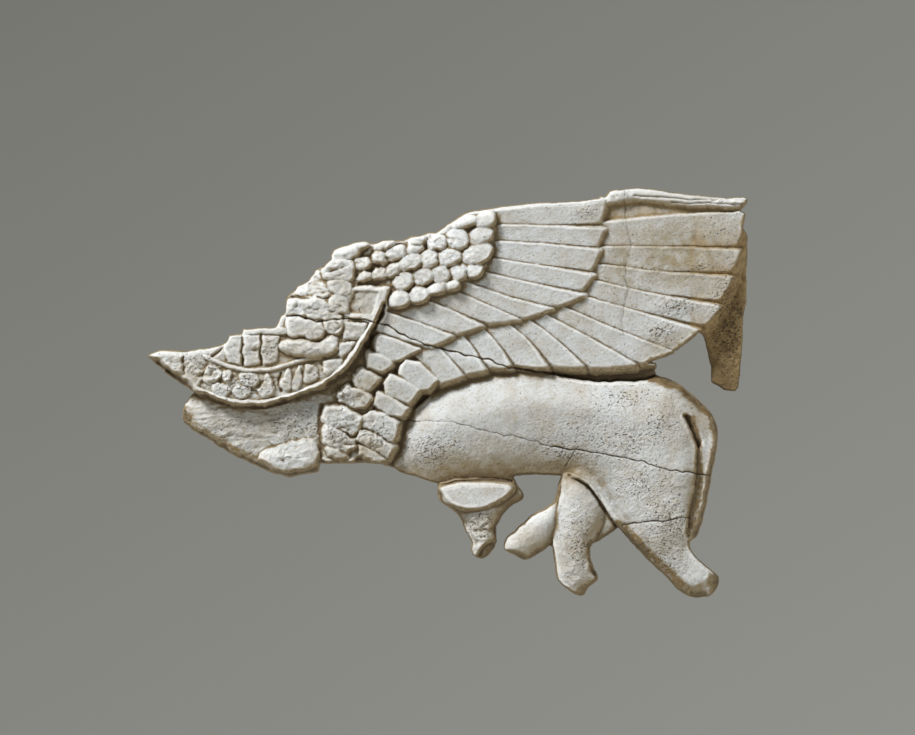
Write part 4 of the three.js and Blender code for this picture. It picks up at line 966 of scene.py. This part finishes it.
for line, width, deep in FURROWS:
    part = around(np.array(line), 2.0)
    away, _ = distance_to(rounded(line), X[part], Z[part])
    depth[part] -= np.where(depth[part] > 0, deep * np.exp(-(away / width) ** 2), 0)

# Age: the edges are worn round, the surface is grainy and pitted, and fine cracks run where the
# plaque was broken and put together again.
solid = depth > 0


def blotches(spots):
    """A mask of soft-edged patches, each given as x, z, reach across and up, and strength."""
    field = np.zeros_like(depth)
    for x, z, across, up, strength in spots:
        field = np.maximum(
            field, strength * np.exp(-((X - x) / across) ** 2 - ((Z - z) / up) ** 2))
    return field


ROUGH = [
    (-46.0, -12.0, 12.0, 7.0, 1.0), (-36.0, -18.6, 6.0, 4.0, 1.0), (-52.0, -1.5, 8.0, 3.0, 1.3),
    (-42.0, -4.0, 8.0, 2.4, 1.1), (-31.0, -0.5, 5.0, 2.0, 0.9), (-33.0, 15.0, 6.0, 6.0, 1.1),
    (-28.0, 22.0, 6.0, 4.0, 1.2), (5.6, -36.0, 4.0, 5.0, 1.1), (-22.0, -15.0, 8.0, 7.0, 1.0),
    (-17.0, 22.5, 7.0, 5.0, 1.2), (-6.0, 27.0, 10.0, 3.0, 0.9), (53.0, -47.0, 4.0, 3.0, 0.4),
    (25.6, -44.0, 4.0, 5.0, 0.5), (36.0, 37.0, 4.0, 2.0, 0.6), (-62.0, 0.5, 5.0, 3.0, 0.9),
    (-25.0, 10.0, 7.0, 8.0, 0.9), (-44.0, 4.0, 7.0, 4.0, 0.8), (-8.0, 19.0, 8.0, 5.0, 0.45),
    (-24.0, -5.0, 5.0, 6.0, 0.9), (58.0, 35.5, 6.0, 1.6, 0.6), (-3.0, 23.0, 11.0, 7.0, 0.55),
    (26.0, -37.0, 5.0, 9.0, 0.4), (45.0, -30.0, 8.0, 12.0, 0.25), (14.0, -36.0, 4.0, 4.0, 0.3),
    (-32.0, 5.0, 7.0, 4.0, 0.6),
]
rough = blotches(ROUGH)
for line in (COLLAR_RIM, COLLAR_RIDGE):
    part = around(np.array(line), 2.0)
    away, _ = distance_to(rounded(line), X[part], Z[part])
    rough[part] *= 1 - 0.75 * np.exp(-(away / 0.9) ** 2)
hand = 0.05 * grain(1, 2.4) + 0.02 * grain(2, 0.8)
torn = 0.13 * grain(3, 1.5, 0.9, turn=8) + 0.09 * grain(4, 0.55, 0.4)
creases = np.clip(1 - 2.4 * np.abs(grain(6, 2.2, 1.3, turn=10)), 0, 1)
torn = torn - 0.28 * creases
fibres = 0.08 * grain(5, 2.4, 0.3, turn=6) + 0.05 * grain(8, 6.0, 1.4, turn=6)
chest_mask = blotches([(-48.0, -11.5, 11.0, 6.5, 1.0)])
up_slope, right_slope = np.gradient(blur(depth, 0.2), PITCH)
steep = np.clip((np.hypot(up_slope, right_slope) - 0.7) / 0.8, 0, 1)
uneven = (
    hand + rough * (1 - 0.8 * chest_mask) * torn + chest_mask * fibres
    + steep * (0.06 + 0.1 * rough) * grain(7, 0.8, 0.5, turn=10))
depth = depth + np.where(solid, uneven, 0)
wander = 0.3 + 1.1 * rough
depth = sample(
    depth,
    X + wander * (0.12 * grain(11, 1.5) + 0.06 * grain(12, 0.5)),
    Z + wander * (0.12 * grain(13, 1.5) + 0.06 * grain(14, 0.5)))
solid = depth > GROUND_DEPTH / 2
worn = np.minimum(depth, blur(depth, 0.2) + 0.05)
depth = np.where(solid, worn, 0)

# Each crack has its width, its depth and how dark it is.
CRACKS = [
    ([
        [-36.7, 11.3], [-33.9, 11.1], [-31.7, 10.4], [-30.0, 10.0], [-24.4, 10.4], [-19.9, 10.2],
        [-16.7, 9.4], [-14.3, 8.5], [-12.4, 7.6], [-8.1, 5.5], [-5.9, 4.5], [-1.6, 3.7],
        [2.7, 2.4], [7.0, 1.5], [9.8, 0.4], [10.9, -0.1],
    ], 0.12, 0.8, 1.0),
    ([
        [-12.4, -11.1], [-5.9, -11.5], [-1.6, -11.9], [4.8, -13.2], [8.5, -14.1], [15.6, -15.6],
        [20.3, -16.9], [22.0, -17.1],
    ], 0.1, 0.2, 0.75),
    ([
        [20.3, -16.9], [25.3, -17.7], [30.6, -18.4], [37.1, -19.5], [41.4, -20.7], [45.7, -22.0],
        [50.0, -22.5], [54.5, -23.3],
    ], 0.1, 0.5, 1.0),
    ([[25.3, -18.0], [24.6, -19.0], [23.3, -21.2]], 0.08, 0.3, 0.8),
    ([[35.2, -34.1], [39.2, -33.3], [43.5, -32.9], [50.0, -32.4]], 0.1, 0.5, 0.9),
    ([
        [36.2, 38.4], [36.0, 36.0], [36.2, 31.3], [37.0, 28.5], [37.1, 25.7], [36.0, 21.8],
        [36.4, 16.7], [35.8, 12.8], [35.2, 10.2], [36.0, 7.6], [36.2, 4.8],
    ], 0.16, 0.08, 0.5),
    ([
        [10.9, -0.1], [15.6, -0.5], [19.9, -1.4], [24.2, -2.0], [28.5, -2.6], [32.8, -2.9],
        [38.2, -2.6], [41.4, -2.3], [42.9, -1.4],
    ], 0.2, 1.2, 1.0),
    ([[51.7, 31.3], [51.5, 29.8], [51.1, 28.3]], 0.1, 0.06, 0.4),
    ([[45.3, 28.9], [47.0, 29.3], [49.6, 31.3]], 0.1, 0.06, 0.4),
]
cracked = np.zeros_like(depth)
jitter_x, jitter_z = 0.14 * grain(21, 1.2), 0.14 * grain(22, 1.2)
broken_up = np.clip(0.7 + 0.5 * grain(23, 1.0), 0, 1)
for line, width, deep, dark in CRACKS:
    part = around(np.array(line), 2.0)
    away, _ = distance_to(rounded(line), X[part] + jitter_x[part], Z[part] + jitter_z[part])
    cut = np.exp(-(away / width) ** 2)
    depth[part] -= np.where(solid[part], deep * cut, 0)
    shown = dark + (1 - dark) * (broken_up[part] - 1)
    cracked[part] = np.maximum(cracked[part], cut * np.clip(shown, 0, 1))

depth = np.where(solid, np.maximum(depth, 1.0), 0)

# The mesh: the raster becomes a closed block with upright sides and a flat back, which is made
# even, laid on the raster again, thinned where it is flat, and set in the frame in metres.
EVEN_SIZE = 0.18
MOST_TRIANGLES = 195000
SETTLE_FACING = -0.5
SETTLE_REACH = 0.3


def block_from(field, mask):
    """A closed mesh, in millimetres, with the field as its front and its back at zero."""
    front = np.full(mask.shape, -1)
    front[mask] = np.arange(mask.sum())
    count = int(mask.sum())
    cells = mask[:-1, :-1] & mask[1:, :-1] & mask[:-1, 1:] & mask[1:, 1:]
    rows, columns = np.nonzero(cells)
    corners = np.stack([
        front[rows, columns], front[rows, columns + 1],
        front[rows + 1, columns + 1], front[rows + 1, columns]], 1)
    quads = [corners, corners[:, ::-1] + count]
    padded = np.pad(cells, 1)
    for (row_step, column_step), (a, b) in {
        (-1, 0): (0, 1), (0, 1): (1, 2), (1, 0): (2, 3), (0, -1): (3, 0),
    }.items():
        bare = ~padded[1 + rows + row_step, 1 + columns + column_step]
        start, end = corners[bare, a], corners[bare, b]
        quads.append(np.stack([end, start, start + count, end + count], 1))
    quads = np.vstack(quads)
    places = np.zeros((2 * count, 3))
    places[:, 0] = np.tile(X[mask], 2)
    places[:count, 1] = -field[mask]
    places[:, 2] = np.tile(Z[mask], 2)
    used, quads = np.unique(quads, return_inverse=True)
    quads = quads.reshape(-1, 4)
    mesh = bpy.data.meshes.new("carved_block")
    mesh.vertices.add(len(used))
    mesh.vertices.foreach_set("co", places[used].ravel())
    mesh.loops.add(quads.size)
    mesh.loops.foreach_set("vertex_index", quads.ravel())
    mesh.polygons.add(len(quads))
    mesh.polygons.foreach_set("loop_start", np.arange(0, quads.size, 4))
    mesh.update(calc_edges=True)
    mesh.validate()
    return mesh


def applied(obj):
    """The object's mesh with its modifiers made real."""
    made = bpy.data.meshes.new_from_object(
        obj.evaluated_get(bpy.context.evaluated_depsgraph_get()))
    obj.modifiers.clear()
    obj.data = made
    return made


def read_vectors(mesh, name):
    values = np.empty(len(mesh.vertices) * 3)
    mesh.vertices.foreach_get(name, values)
    return values.reshape(-1, 3)


plaque = bpy.data.objects.new("sphinx_plaque_ivory", block_from(depth, solid))
bpy.context.scene.collection.objects.link(plaque)
even = plaque.modifiers.new("even", "REMESH")
even.mode = "VOXEL"
even.voxel_size = EVEN_SIZE
mesh = applied(plaque)

# Beyond the outline the fields go on as they are at the edge, so that no edge reads as a hollow.
held = blur(solid.astype(float), 0.35)
carried = np.where(solid, depth, blur(depth, 0.35) / np.maximum(held, 1e-3))
carried = np.where(held > 0.02, carried, 0)

places = read_vectors(mesh, "co")
facing = read_vectors(mesh, "normal")
shift = -sample(carried, places[:, 0], places[:, 2]) - places[:, 1]
settle = (facing[:, 1] < SETTLE_FACING) & (np.abs(shift) < SETTLE_REACH)
places[settle, 1] += shift[settle]
mesh.vertices.foreach_set("co", places.ravel())

thin = plaque.modifiers.new("thin", "DECIMATE")
thin.ratio = MOST_TRIANGLES / (2 * len(mesh.polygons))
mesh = applied(plaque)
places = read_vectors(mesh, "co")


def keep_field(name, field):
    values = sample(field, places[:, 0], places[:, 2])
    layer = mesh.attributes.new(name, "FLOAT", "POINT")
    layer.data.foreach_set("value", values.astype(np.float32))


def even_depth(size):
    """The depth smoothed over that many millimetres, with nothing taken from beyond the edge."""
    return blur(depth, size) / np.maximum(blur(solid.astype(float), size), 0.02)


keep_field("face_depth", np.where(held < 0.9, skirt(depth, 0, 0.5), carried))
up_slope, right_slope = np.gradient(np.where(held > 0.02, even_depth(0.25), 0), PITCH)
keep_field("fine_hollow", np.clip((even_depth(0.5) - carried) / 0.3, -1, 1))
# Two patches on the neck get none of the hollows' soil and painted shade.
no_hollow_darkening = blotches([(-32.0, 18.5, 4.5, 4.5, 1.0), (-27.0, 22.5, 4.0, 3.0, 0.7)])
wide_hollow = np.clip((even_depth(1.8) - carried) / 1.4, -1, 1)
keep_field("wide_hollow", wide_hollow * (1 - no_hollow_darkening))
# Painted shade: how far each slope faces down and to the right, away from the high left light.
keep_field("turned_from_light", np.clip((up_slope * 0.8 - right_slope * 0.6) / 1.3, 0, 1))
keep_field("cracked", cracked)
keep_field("seam", np.clip(seams, 0, 1) * solid)
# Tan patches: the ivory's own tone; the first two, along the belly's underside, are also painted shade
# where it turns from the light.
TAN_AND_SHADE_PATCHES = [
    (4.0, -23.5, 20.0, 5.2, 1.3), (20.0, -22.0, 10.0, 3.4, 1.1), (8.6, -16.5, 8.0, 3.0, 0.5),
    (35.5, 22.0, 4.0, 10.0, 0.8), (48.0, 24.5, 13.0, 8.0, 1.1), (30.5, 31.0, 4.0, 3.0, 0.5),
    (58.0, 31.0, 4.0, 3.0, 0.6), (45.7, 4.5, 5.0, 3.0, 0.6), (-44.0, -13.0, 14.0, 5.0, 0.5),
    (-21.0, -17.5, 8.0, 3.6, 0.8), (43.0, -39.0, 8.0, 6.0, 0.5), (6.0, -34.0, 5.0, 7.0, 0.6),
    (12.5, -27.0, 2.6, 3.0, 0.9), (25.0, -40.0, 4.0, 8.0, 0.6), (14.0, -38.0, 4.0, 3.0, 0.5),
    (-58.0, -2.0, 5.0, 5.0, 0.6), (-37.0, 1.0, 12.0, 7.0, 0.5), (-20.5, 13.5, 2.6, 2.6, 0.6),
    (43.0, -9.0, 7.0, 6.0, 0.35), (53.0, -12.0, 2.5, 4.0, 0.6), (-16.0, 20.0, 5.0, 4.0, 0.4),
    (-20.0, 1.0, 5.0, 5.0, 0.3), (46.5, -28.0, 4.0, 8.0, 0.4), (30.5, -34.0, 3.0, 3.0, 0.7),
    (50.0, 36.5, 12.0, 1.8, 0.4), (14.0, -11.0, 14.0, 5.0, 0.25), (-19.0, -4.0, 5.0, 6.0, 0.65),
    (57.0, 22.0, 3.0, 9.0, 0.6), (-26.0, 14.0, 6.0, 8.0, 0.4),
]
# Brown patches: stain, painted shade along the belly's underside and at the foot of the strip, and a
# painted shadow under the wing's lower edge.
BROWN_STAIN_AND_SHADE = [
    (-6.0, -24.4, 8.0, 2.4, 0.7), (12.0, -23.6, 12.0, 2.6, 1.0), (24.0, -22.6, 5.0, 2.4, 0.8),
    (-46.0, -8.2, 9.0, 1.6, 0.4), (-27.5, -6.5, 3.0, 4.0, 0.4), (58.0, -3.0, 6.0, 6.0, 0.7),
    (28.0, -1.2, 20.0, 1.3, 0.9), (50.4, -12.2, 1.6, 2.8, 0.9),
]
brown_stain_and_shade = np.maximum(blotches(BROWN_STAIN_AND_SHADE), slanted)
# Painted shade: the tail's groove is browned, to the deepest brown.
brown_stain_and_shade[groove_part] = np.maximum(
    brown_stain_and_shade[groove_part], 1.3 * inside(TAIL_GROOVE, X[groove_part], Z[groove_part]))
lip_part = around(np.array(LIP))
kept_plain = np.ones_like(depth)
kept_plain[lip_part] -= 0.85 * inside(np.array(LIP), X[lip_part], Z[lip_part])
keep_field("tan_and_shade", np.clip(blotches(TAN_AND_SHADE_PATCHES), 0, 1) * kept_plain)
keep_field("brown_stain_and_shade", blur(brown_stain_and_shade * kept_plain, 0.15))
PITTED = [
    (-4.8, -17.7, 8.0, 4.5, 0.9), (45.7, -32.8, 5.5, 6.0, 1.0), (47.0, 13.2, 4.4, 2.2, 1.0),
    (43.5, 7.6, 3.6, 2.6, 1.0), (51.5, 21.8, 3.4, 1.8, 0.7), (27.4, 33.6, 2.4, 1.4, 0.9),
    (34.9, -6.5, 10.0, 3.5, 0.7), (22.0, -18.6, 4.6, 3.0, 0.9), (4.8, -34.5, 4.0, 4.0, 0.9),
    (-33.9, -11.3, 9.0, 5.0, 0.8), (-48.9, -12.5, 8.0, 4.0, 0.6), (-25.3, -13.6, 5.0, 6.0, 0.7),
    (-16.7, -14.6, 5.0, 5.0, 0.7), (36.9, -15.4, 9.0, 5.0, 0.7), (26.3, -37.1, 4.0, 8.0, 0.8),
    (-45.7, -3.8, 8.0, 3.0, 0.9), (-24.2, -5.9, 3.0, 4.0, 0.7), (44.0, -40.0, 7.0, 6.0, 0.7),
    (56.0, 30.0, 4.0, 3.0, 0.4), (58.5, 9.0, 4.0, 13.0, 1.1), (-40.5, 4.0, 3.0, 3.0, 0.7),
    (30.0, -16.0, 18.0, 7.0, 0.6), (43.0, -12.0, 7.0, 6.0, 0.7), (40.0, -25.0, 9.0, 5.0, 0.7),
    (-55.0, 1.0, 5.0, 3.0, 0.8), (-33.0, -1.0, 6.0, 3.0, 0.5),
]
keep_field("pitted", np.maximum(blotches(PITTED), 0.12) + 0.5 * blur(seams, 0.4))
# The strip's own amber stain; over the hollow band under the rail, at half strength, it is tan and
# partly painted shade.
strip_mask = np.zeros_like(depth)
for outline, strength in ((STRIP, 1.0), (HOLLOW, 0.45)):
    outline = np.array(outline)
    part = around(outline)
    strip_mask[part] = np.maximum(
        strip_mask[part], strength * inside(outline, X[part], Z[part]))
low_ground = np.clip((PRIMARY_DEPTH - 0.4 - depth) / 0.5, 0, 1)
keep_field("stain_and_shade", blur(strip_mask * low_ground, 0.2))
mesh.vertices.foreach_set("co", np.clip(
    places / 1000, np.array(cad_box[0]), np.array(cad_box[1])).ravel())
mesh.update()
# The back stays flat to its edge, so its faces aren't shaded smooth.
facing = np.empty(len(mesh.polygons) * 3)
mesh.polygons.foreach_get("normal", facing)
mesh.polygons.foreach_set("use_smooth", facing.reshape(-1, 3)[:, 1] < 0.9)

# The surface: worn matt ivory, near white on worn ridges, which also carry a painted highlight,
# amber painted shade on slopes turned from the light, and brown in the hollows as soil and
# painted shade, with fine grain and small dark pits. All noises are in millimetres.
WHITE = (0.695, 0.722, 0.738)
CREAM = (0.61, 0.598, 0.565)
# Painted shade for slopes turned from the light.
SHADE_AMBER = (0.46, 0.37, 0.235)
# Brown and dark soil: dirt in the hollows, and painted shade there and on slopes turned from the light.
BROWN = (0.27, 0.205, 0.115)
DARK_SOIL_AND_SHADE = (0.16, 0.118, 0.07)
TAN = (0.35, 0.282, 0.168)
# Band and deep stain: stain, and painted shade where the brown patches stand for it.
BAND = (0.265, 0.19, 0.09)
DEEP_STAIN_AND_SHADE = (0.15, 0.10, 0.046)
# Worn ridges, lighter also as a painted highlight.
WORN_CREST_HIGHLIGHT = (0.92, 0.925, 0.915)


class Builder:
    """Adds nodes to a tree: numbers and colours are set on a socket, outputs are linked to it."""

    def __init__(self, tree):
        self.nodes = tree.nodes
        self.links = tree.links

    def put(self, value, socket):
        if isinstance(value, bpy.types.NodeSocket):
            self.links.new(value, socket)
        elif isinstance(value, tuple) and len(socket.default_value) == 4:
            socket.default_value = (*value, 1)
        else:
            socket.default_value = value

    def math(self, operation, *values, clamp=False):
        node = self.nodes.new("ShaderNodeMath")
        node.operation = operation
        node.use_clamp = clamp
        for value, socket in zip(values, node.inputs):
            self.put(value, socket)
        return node.outputs[0]

    def ramp(self, value, low, high):
        """Nought below low, one above high, with a soft change between."""
        node = self.nodes.new("ShaderNodeMapRange")
        node.interpolation_type = "SMOOTHSTEP"
        self.put(value, node.inputs["Value"])
        self.put(low, node.inputs["From Min"])
        self.put(high, node.inputs["From Max"])
        return node.outputs["Result"]

    def mix(self, share, first, second):
        node = self.nodes.new("ShaderNodeMix")
        node.data_type = "RGBA"
        self.put(share, node.inputs["Factor"])
        self.put(first, node.inputs[6])
        self.put(second, node.inputs[7])
        return node.outputs[2]

    def noise(self, vector, scale, detail=3.0, stretch=(1, 1, 1)):
        sized = self.nodes.new("ShaderNodeVectorMath")
        sized.operation = "MULTIPLY"
        self.put(vector, sized.inputs[0])
        sized.inputs[1].default_value = stretch
        node = self.nodes.new("ShaderNodeTexNoise")
        self.put(sized.outputs[0], node.inputs["Vector"])
        node.inputs["Scale"].default_value = scale
        node.inputs["Detail"].default_value = detail
        return node.outputs["Fac"]


def new_effect(name, inputs, outputs):
    """An empty shader node group with those sockets, its builder, and its two ends."""
    tree = bpy.data.node_groups.new(name, "ShaderNodeTree")
    for label, kind in inputs:
        tree.interface.new_socket(label, in_out="INPUT", socket_type=kind)
    for label, kind in outputs:
        tree.interface.new_socket(label, in_out="OUTPUT", socket_type=kind)
    return (
        tree, Builder(tree),
        tree.nodes.new("NodeGroupInput"), tree.nodes.new("NodeGroupOutput"))


# Pits: spots of a fine noise, more and larger ones in pitted areas.
PIT_CLEAN = 0.73
PIT_MORE = 0.19
pit_group, pit_maker, pit_in, pit_out = new_effect(
    "ivory_pits", [("Place", "NodeSocketVector"), ("Amount", "NodeSocketFloat")],
    [("Mask", "NodeSocketFloat")])
spots = pit_maker.noise(pit_in.outputs["Place"], 2.4, 2.0, (0.7, 1, 1))
rim = pit_maker.math("MULTIPLY_ADD", pit_in.outputs["Amount"], -PIT_MORE, PIT_CLEAN)
pit_maker.put(
    pit_maker.ramp(spots, rim, pit_maker.math("ADD", rim, 0.05)), pit_out.inputs["Mask"])

# Soil and painted shade: how dark the hollows get, as dirt and as painted shade, plus painted
# shade on the slopes that face down and away from the light, and chance.
soil_shade_group, soil_shade_maker, soil_shade_in, soil_shade_out = new_effect(
    "ivory_soil_and_shade",
    [("Place", "NodeSocketVector"), ("Fine", "NodeSocketFloat"), ("Wide", "NodeSocketFloat"),
     ("Away", "NodeSocketFloat")],
    [("SoilAndShade", "NodeSocketFloat")])
uneven = soil_shade_maker.noise(soil_shade_in.outputs["Place"], 0.55, 5.0)
dirt_and_shade = soil_shade_maker.math("MULTIPLY", soil_shade_maker.math(
    "MAXIMUM", soil_shade_in.outputs["Fine"], 0.0), 0.65)
dirt_and_shade = soil_shade_maker.math("MULTIPLY_ADD", soil_shade_maker.math(
    "MAXIMUM", soil_shade_in.outputs["Wide"], 0.0), 0.75, dirt_and_shade)
dirt_and_shade = soil_shade_maker.math("MULTIPLY_ADD", soil_shade_in.outputs["Away"], 0.3, dirt_and_shade)
by_chance = soil_shade_maker.math("MULTIPLY_ADD", uneven, 1.1, -0.55)
dirt_and_shade = soil_shade_maker.math("MULTIPLY_ADD", by_chance, 0.6, dirt_and_shade)
soil_shade_maker.put(dirt_and_shade, soil_shade_out.inputs["SoilAndShade"])

ivory.use_nodes = True
skin = ivory.node_tree.nodes["Principled BSDF"]
skin.inputs["Roughness"].default_value = 0.62
skin.inputs["IOR"].default_value = 1.45
skin.inputs["Specular IOR Level"].default_value = 0.3
paint = Builder(ivory.node_tree)


def attribute(name):
    node = paint.nodes.new("ShaderNodeAttribute")
    node.attribute_name = name
    return node.outputs["Fac"]


coordinates = paint.nodes.new("ShaderNodeTexCoord")
in_millimetres = paint.nodes.new("ShaderNodeVectorMath")
in_millimetres.operation = "SCALE"
paint.put(coordinates.outputs["Object"], in_millimetres.inputs[0])
in_millimetres.inputs["Scale"].default_value = 1000.0
# Turned off the axes, or the noises would show their own lattice on the flat face.
turned = paint.nodes.new("ShaderNodeVectorRotate")
turned.rotation_type = "EULER_XYZ"
turned.inputs["Rotation"].default_value = (0.6, 0.35, 0.12)
paint.put(in_millimetres.outputs[0], turned.inputs["Vector"])
place = turned.outputs[0]

# The cut sides and the back lie well behind the face, and are plainer.
axes = paint.nodes.new("ShaderNodeSeparateXYZ")
paint.put(in_millimetres.outputs[0], axes.inputs[0])
behind = paint.math("ADD", axes.outputs["Y"], attribute("face_depth"))
cut_side = paint.ramp(behind, 0.7, 1.7)
pitted = paint.math("MULTIPLY", attribute("pitted"), paint.math("SUBTRACT", 1.0, cut_side))

pits = paint.nodes.new("ShaderNodeGroup")
pits.node_tree = pit_group
paint.put(place, pits.inputs["Place"])
paint.put(pitted, pits.inputs["Amount"])
soil_and_shade = paint.nodes.new("ShaderNodeGroup")
soil_and_shade.node_tree = soil_shade_group
fine = attribute("fine_hollow")
paint.put(place, soil_and_shade.inputs["Place"])
paint.put(fine, soil_and_shade.inputs["Fine"])
paint.put(attribute("wide_hollow"), soil_and_shade.inputs["Wide"])
paint.put(attribute("turned_from_light"), soil_and_shade.inputs["Away"])

mottle = paint.ramp(paint.noise(place, 0.16, 4.0), 0.4, 0.7)
colour = paint.mix(mottle, WHITE, CREAM)
streaks = paint.ramp(paint.noise(place, 1.0, 4.0, (0.2, 1, 1.4)), 0.45, 0.8)
colour = paint.mix(paint.math("MULTIPLY", streaks, 0.4), colour, (0.50, 0.43, 0.32))
speckle = paint.ramp(paint.noise(place, 2.2, 3.0, (0.85, 1, 1)), 0.49, 0.7)
specks = paint.math(
    "MULTIPLY", speckle, paint.math("MULTIPLY_ADD", attribute("tan_and_shade"), 0.5, 0.5))
colour = paint.mix(specks, colour, (0.40, 0.34, 0.24))
# Ridges lighter: wear, and a painted highlight on the crests.
colour = paint.mix(
    paint.math("MULTIPLY", paint.ramp(fine, -0.06, -0.6), 0.8), colour, WORN_CREST_HIGHLIGHT)
patches = paint.ramp(paint.noise(place, 0.45, 6.0), 0.3, 0.66)
# Tan patches: the ivory's tone, and painted shade along the belly's underside.
tan_and_shade = paint.math("MULTIPLY", attribute("tan_and_shade"), paint.math("MULTIPLY_ADD", patches, 0.5, 0.45))
colour = paint.mix(tan_and_shade, colour, TAN)
flecks = paint.ramp(paint.noise(place, 1.1, 6.0), 0.36, 0.6)
# Brown patches: stain on the slants, and painted shade on the belly's underside, under the wing's edge,
# at the foot of the strip and in the tail's groove.
brown_stain_and_shade = paint.math("MULTIPLY", attribute("brown_stain_and_shade"), paint.math("MULTIPLY_ADD", flecks, 0.5, 0.45))
colour = paint.mix(brown_stain_and_shade, colour, BAND)
colour = paint.mix(paint.math("SUBTRACT", attribute("brown_stain_and_shade"), 1.0), colour, DEEP_STAIN_AND_SHADE)
# Painted shade: slopes turned from the light go amber, and the steepest of them brown in patches.
away = attribute("turned_from_light")
colour = paint.mix(paint.ramp(away, 0.1, 0.7), colour, SHADE_AMBER)
shade_patches = paint.ramp(paint.noise(place, 1.3, 6.0), 0.4, 0.58)
colour = paint.mix(paint.math("MULTIPLY", paint.ramp(away, 0.5, 0.9), shade_patches), colour, BROWN)
# Brown, then near black, in the hollows: soil, and painted shade.
colour = paint.mix(paint.ramp(soil_and_shade.outputs["SoilAndShade"], 0.15, 0.65), colour, BROWN)
colour = paint.mix(paint.ramp(soil_and_shade.outputs["SoilAndShade"], 0.65, 1.2), colour, DARK_SOIL_AND_SHADE)
# Thin brown lines along the feathers' seams: dirt in the fine grooves, and painted shade there.
broken_line = paint.ramp(paint.noise(place, 0.9, 4.0), 0.36, 0.56)
seam = paint.math("MULTIPLY", attribute("seam"), paint.math("MULTIPLY_ADD", broken_line, 0.7, 0.2))
colour = paint.mix(seam, colour, (0.20, 0.14, 0.08))
# The strip's amber stain, and at half strength on the hollow band, partly painted shade.
blots = paint.ramp(paint.noise(place, 0.7, 5.0, (1, 1, 0.6)), 0.4, 0.66)
stain = paint.mix(blots, (0.44, 0.315, 0.155), (0.27, 0.185, 0.086))
stain = paint.mix(attribute("brown_stain_and_shade"), stain, DEEP_STAIN_AND_SHADE)
colour = paint.mix(attribute("stain_and_shade"), colour, stain)
colour = paint.mix(
    paint.math("MULTIPLY", pits.outputs["Mask"], 0.85), colour, (0.13, 0.098, 0.06))
colour = paint.mix(attribute("cracked"), colour, (0.05, 0.035, 0.02))
side_patches = paint.ramp(paint.noise(place, 0.35, 5.0), 0.3, 0.7)
side_colour = paint.mix(side_patches, (0.39, 0.295, 0.165), (0.29, 0.21, 0.11))
colour = paint.mix(cut_side, colour, side_colour)
paint.put(colour, skin.inputs["Base Color"])

coarse = paint.math("MULTIPLY_ADD", pitted, 1.8, 0.22)
texture = paint.math("MULTIPLY", paint.noise(place, 2.0, 4.0, (0.85, 1, 1)), coarse)
texture = paint.math("MULTIPLY_ADD", paint.noise(place, 0.9, 3.0), coarse, texture)
texture = paint.math("MULTIPLY_ADD", pits.outputs["Mask"], -1.0, texture)
bump = paint.nodes.new("ShaderNodeBump")
bump.inputs["Distance"].default_value = 0.00026
bump.inputs["Strength"].default_value = 1.0
paint.put(texture, bump.inputs["Height"])
paint.put(bump.outputs["Normal"], skin.inputs["Normal"])
mesh.materials.clear()
mesh.materials.append(ivory)

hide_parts("sphinx_plaque")
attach(plaque, "root")
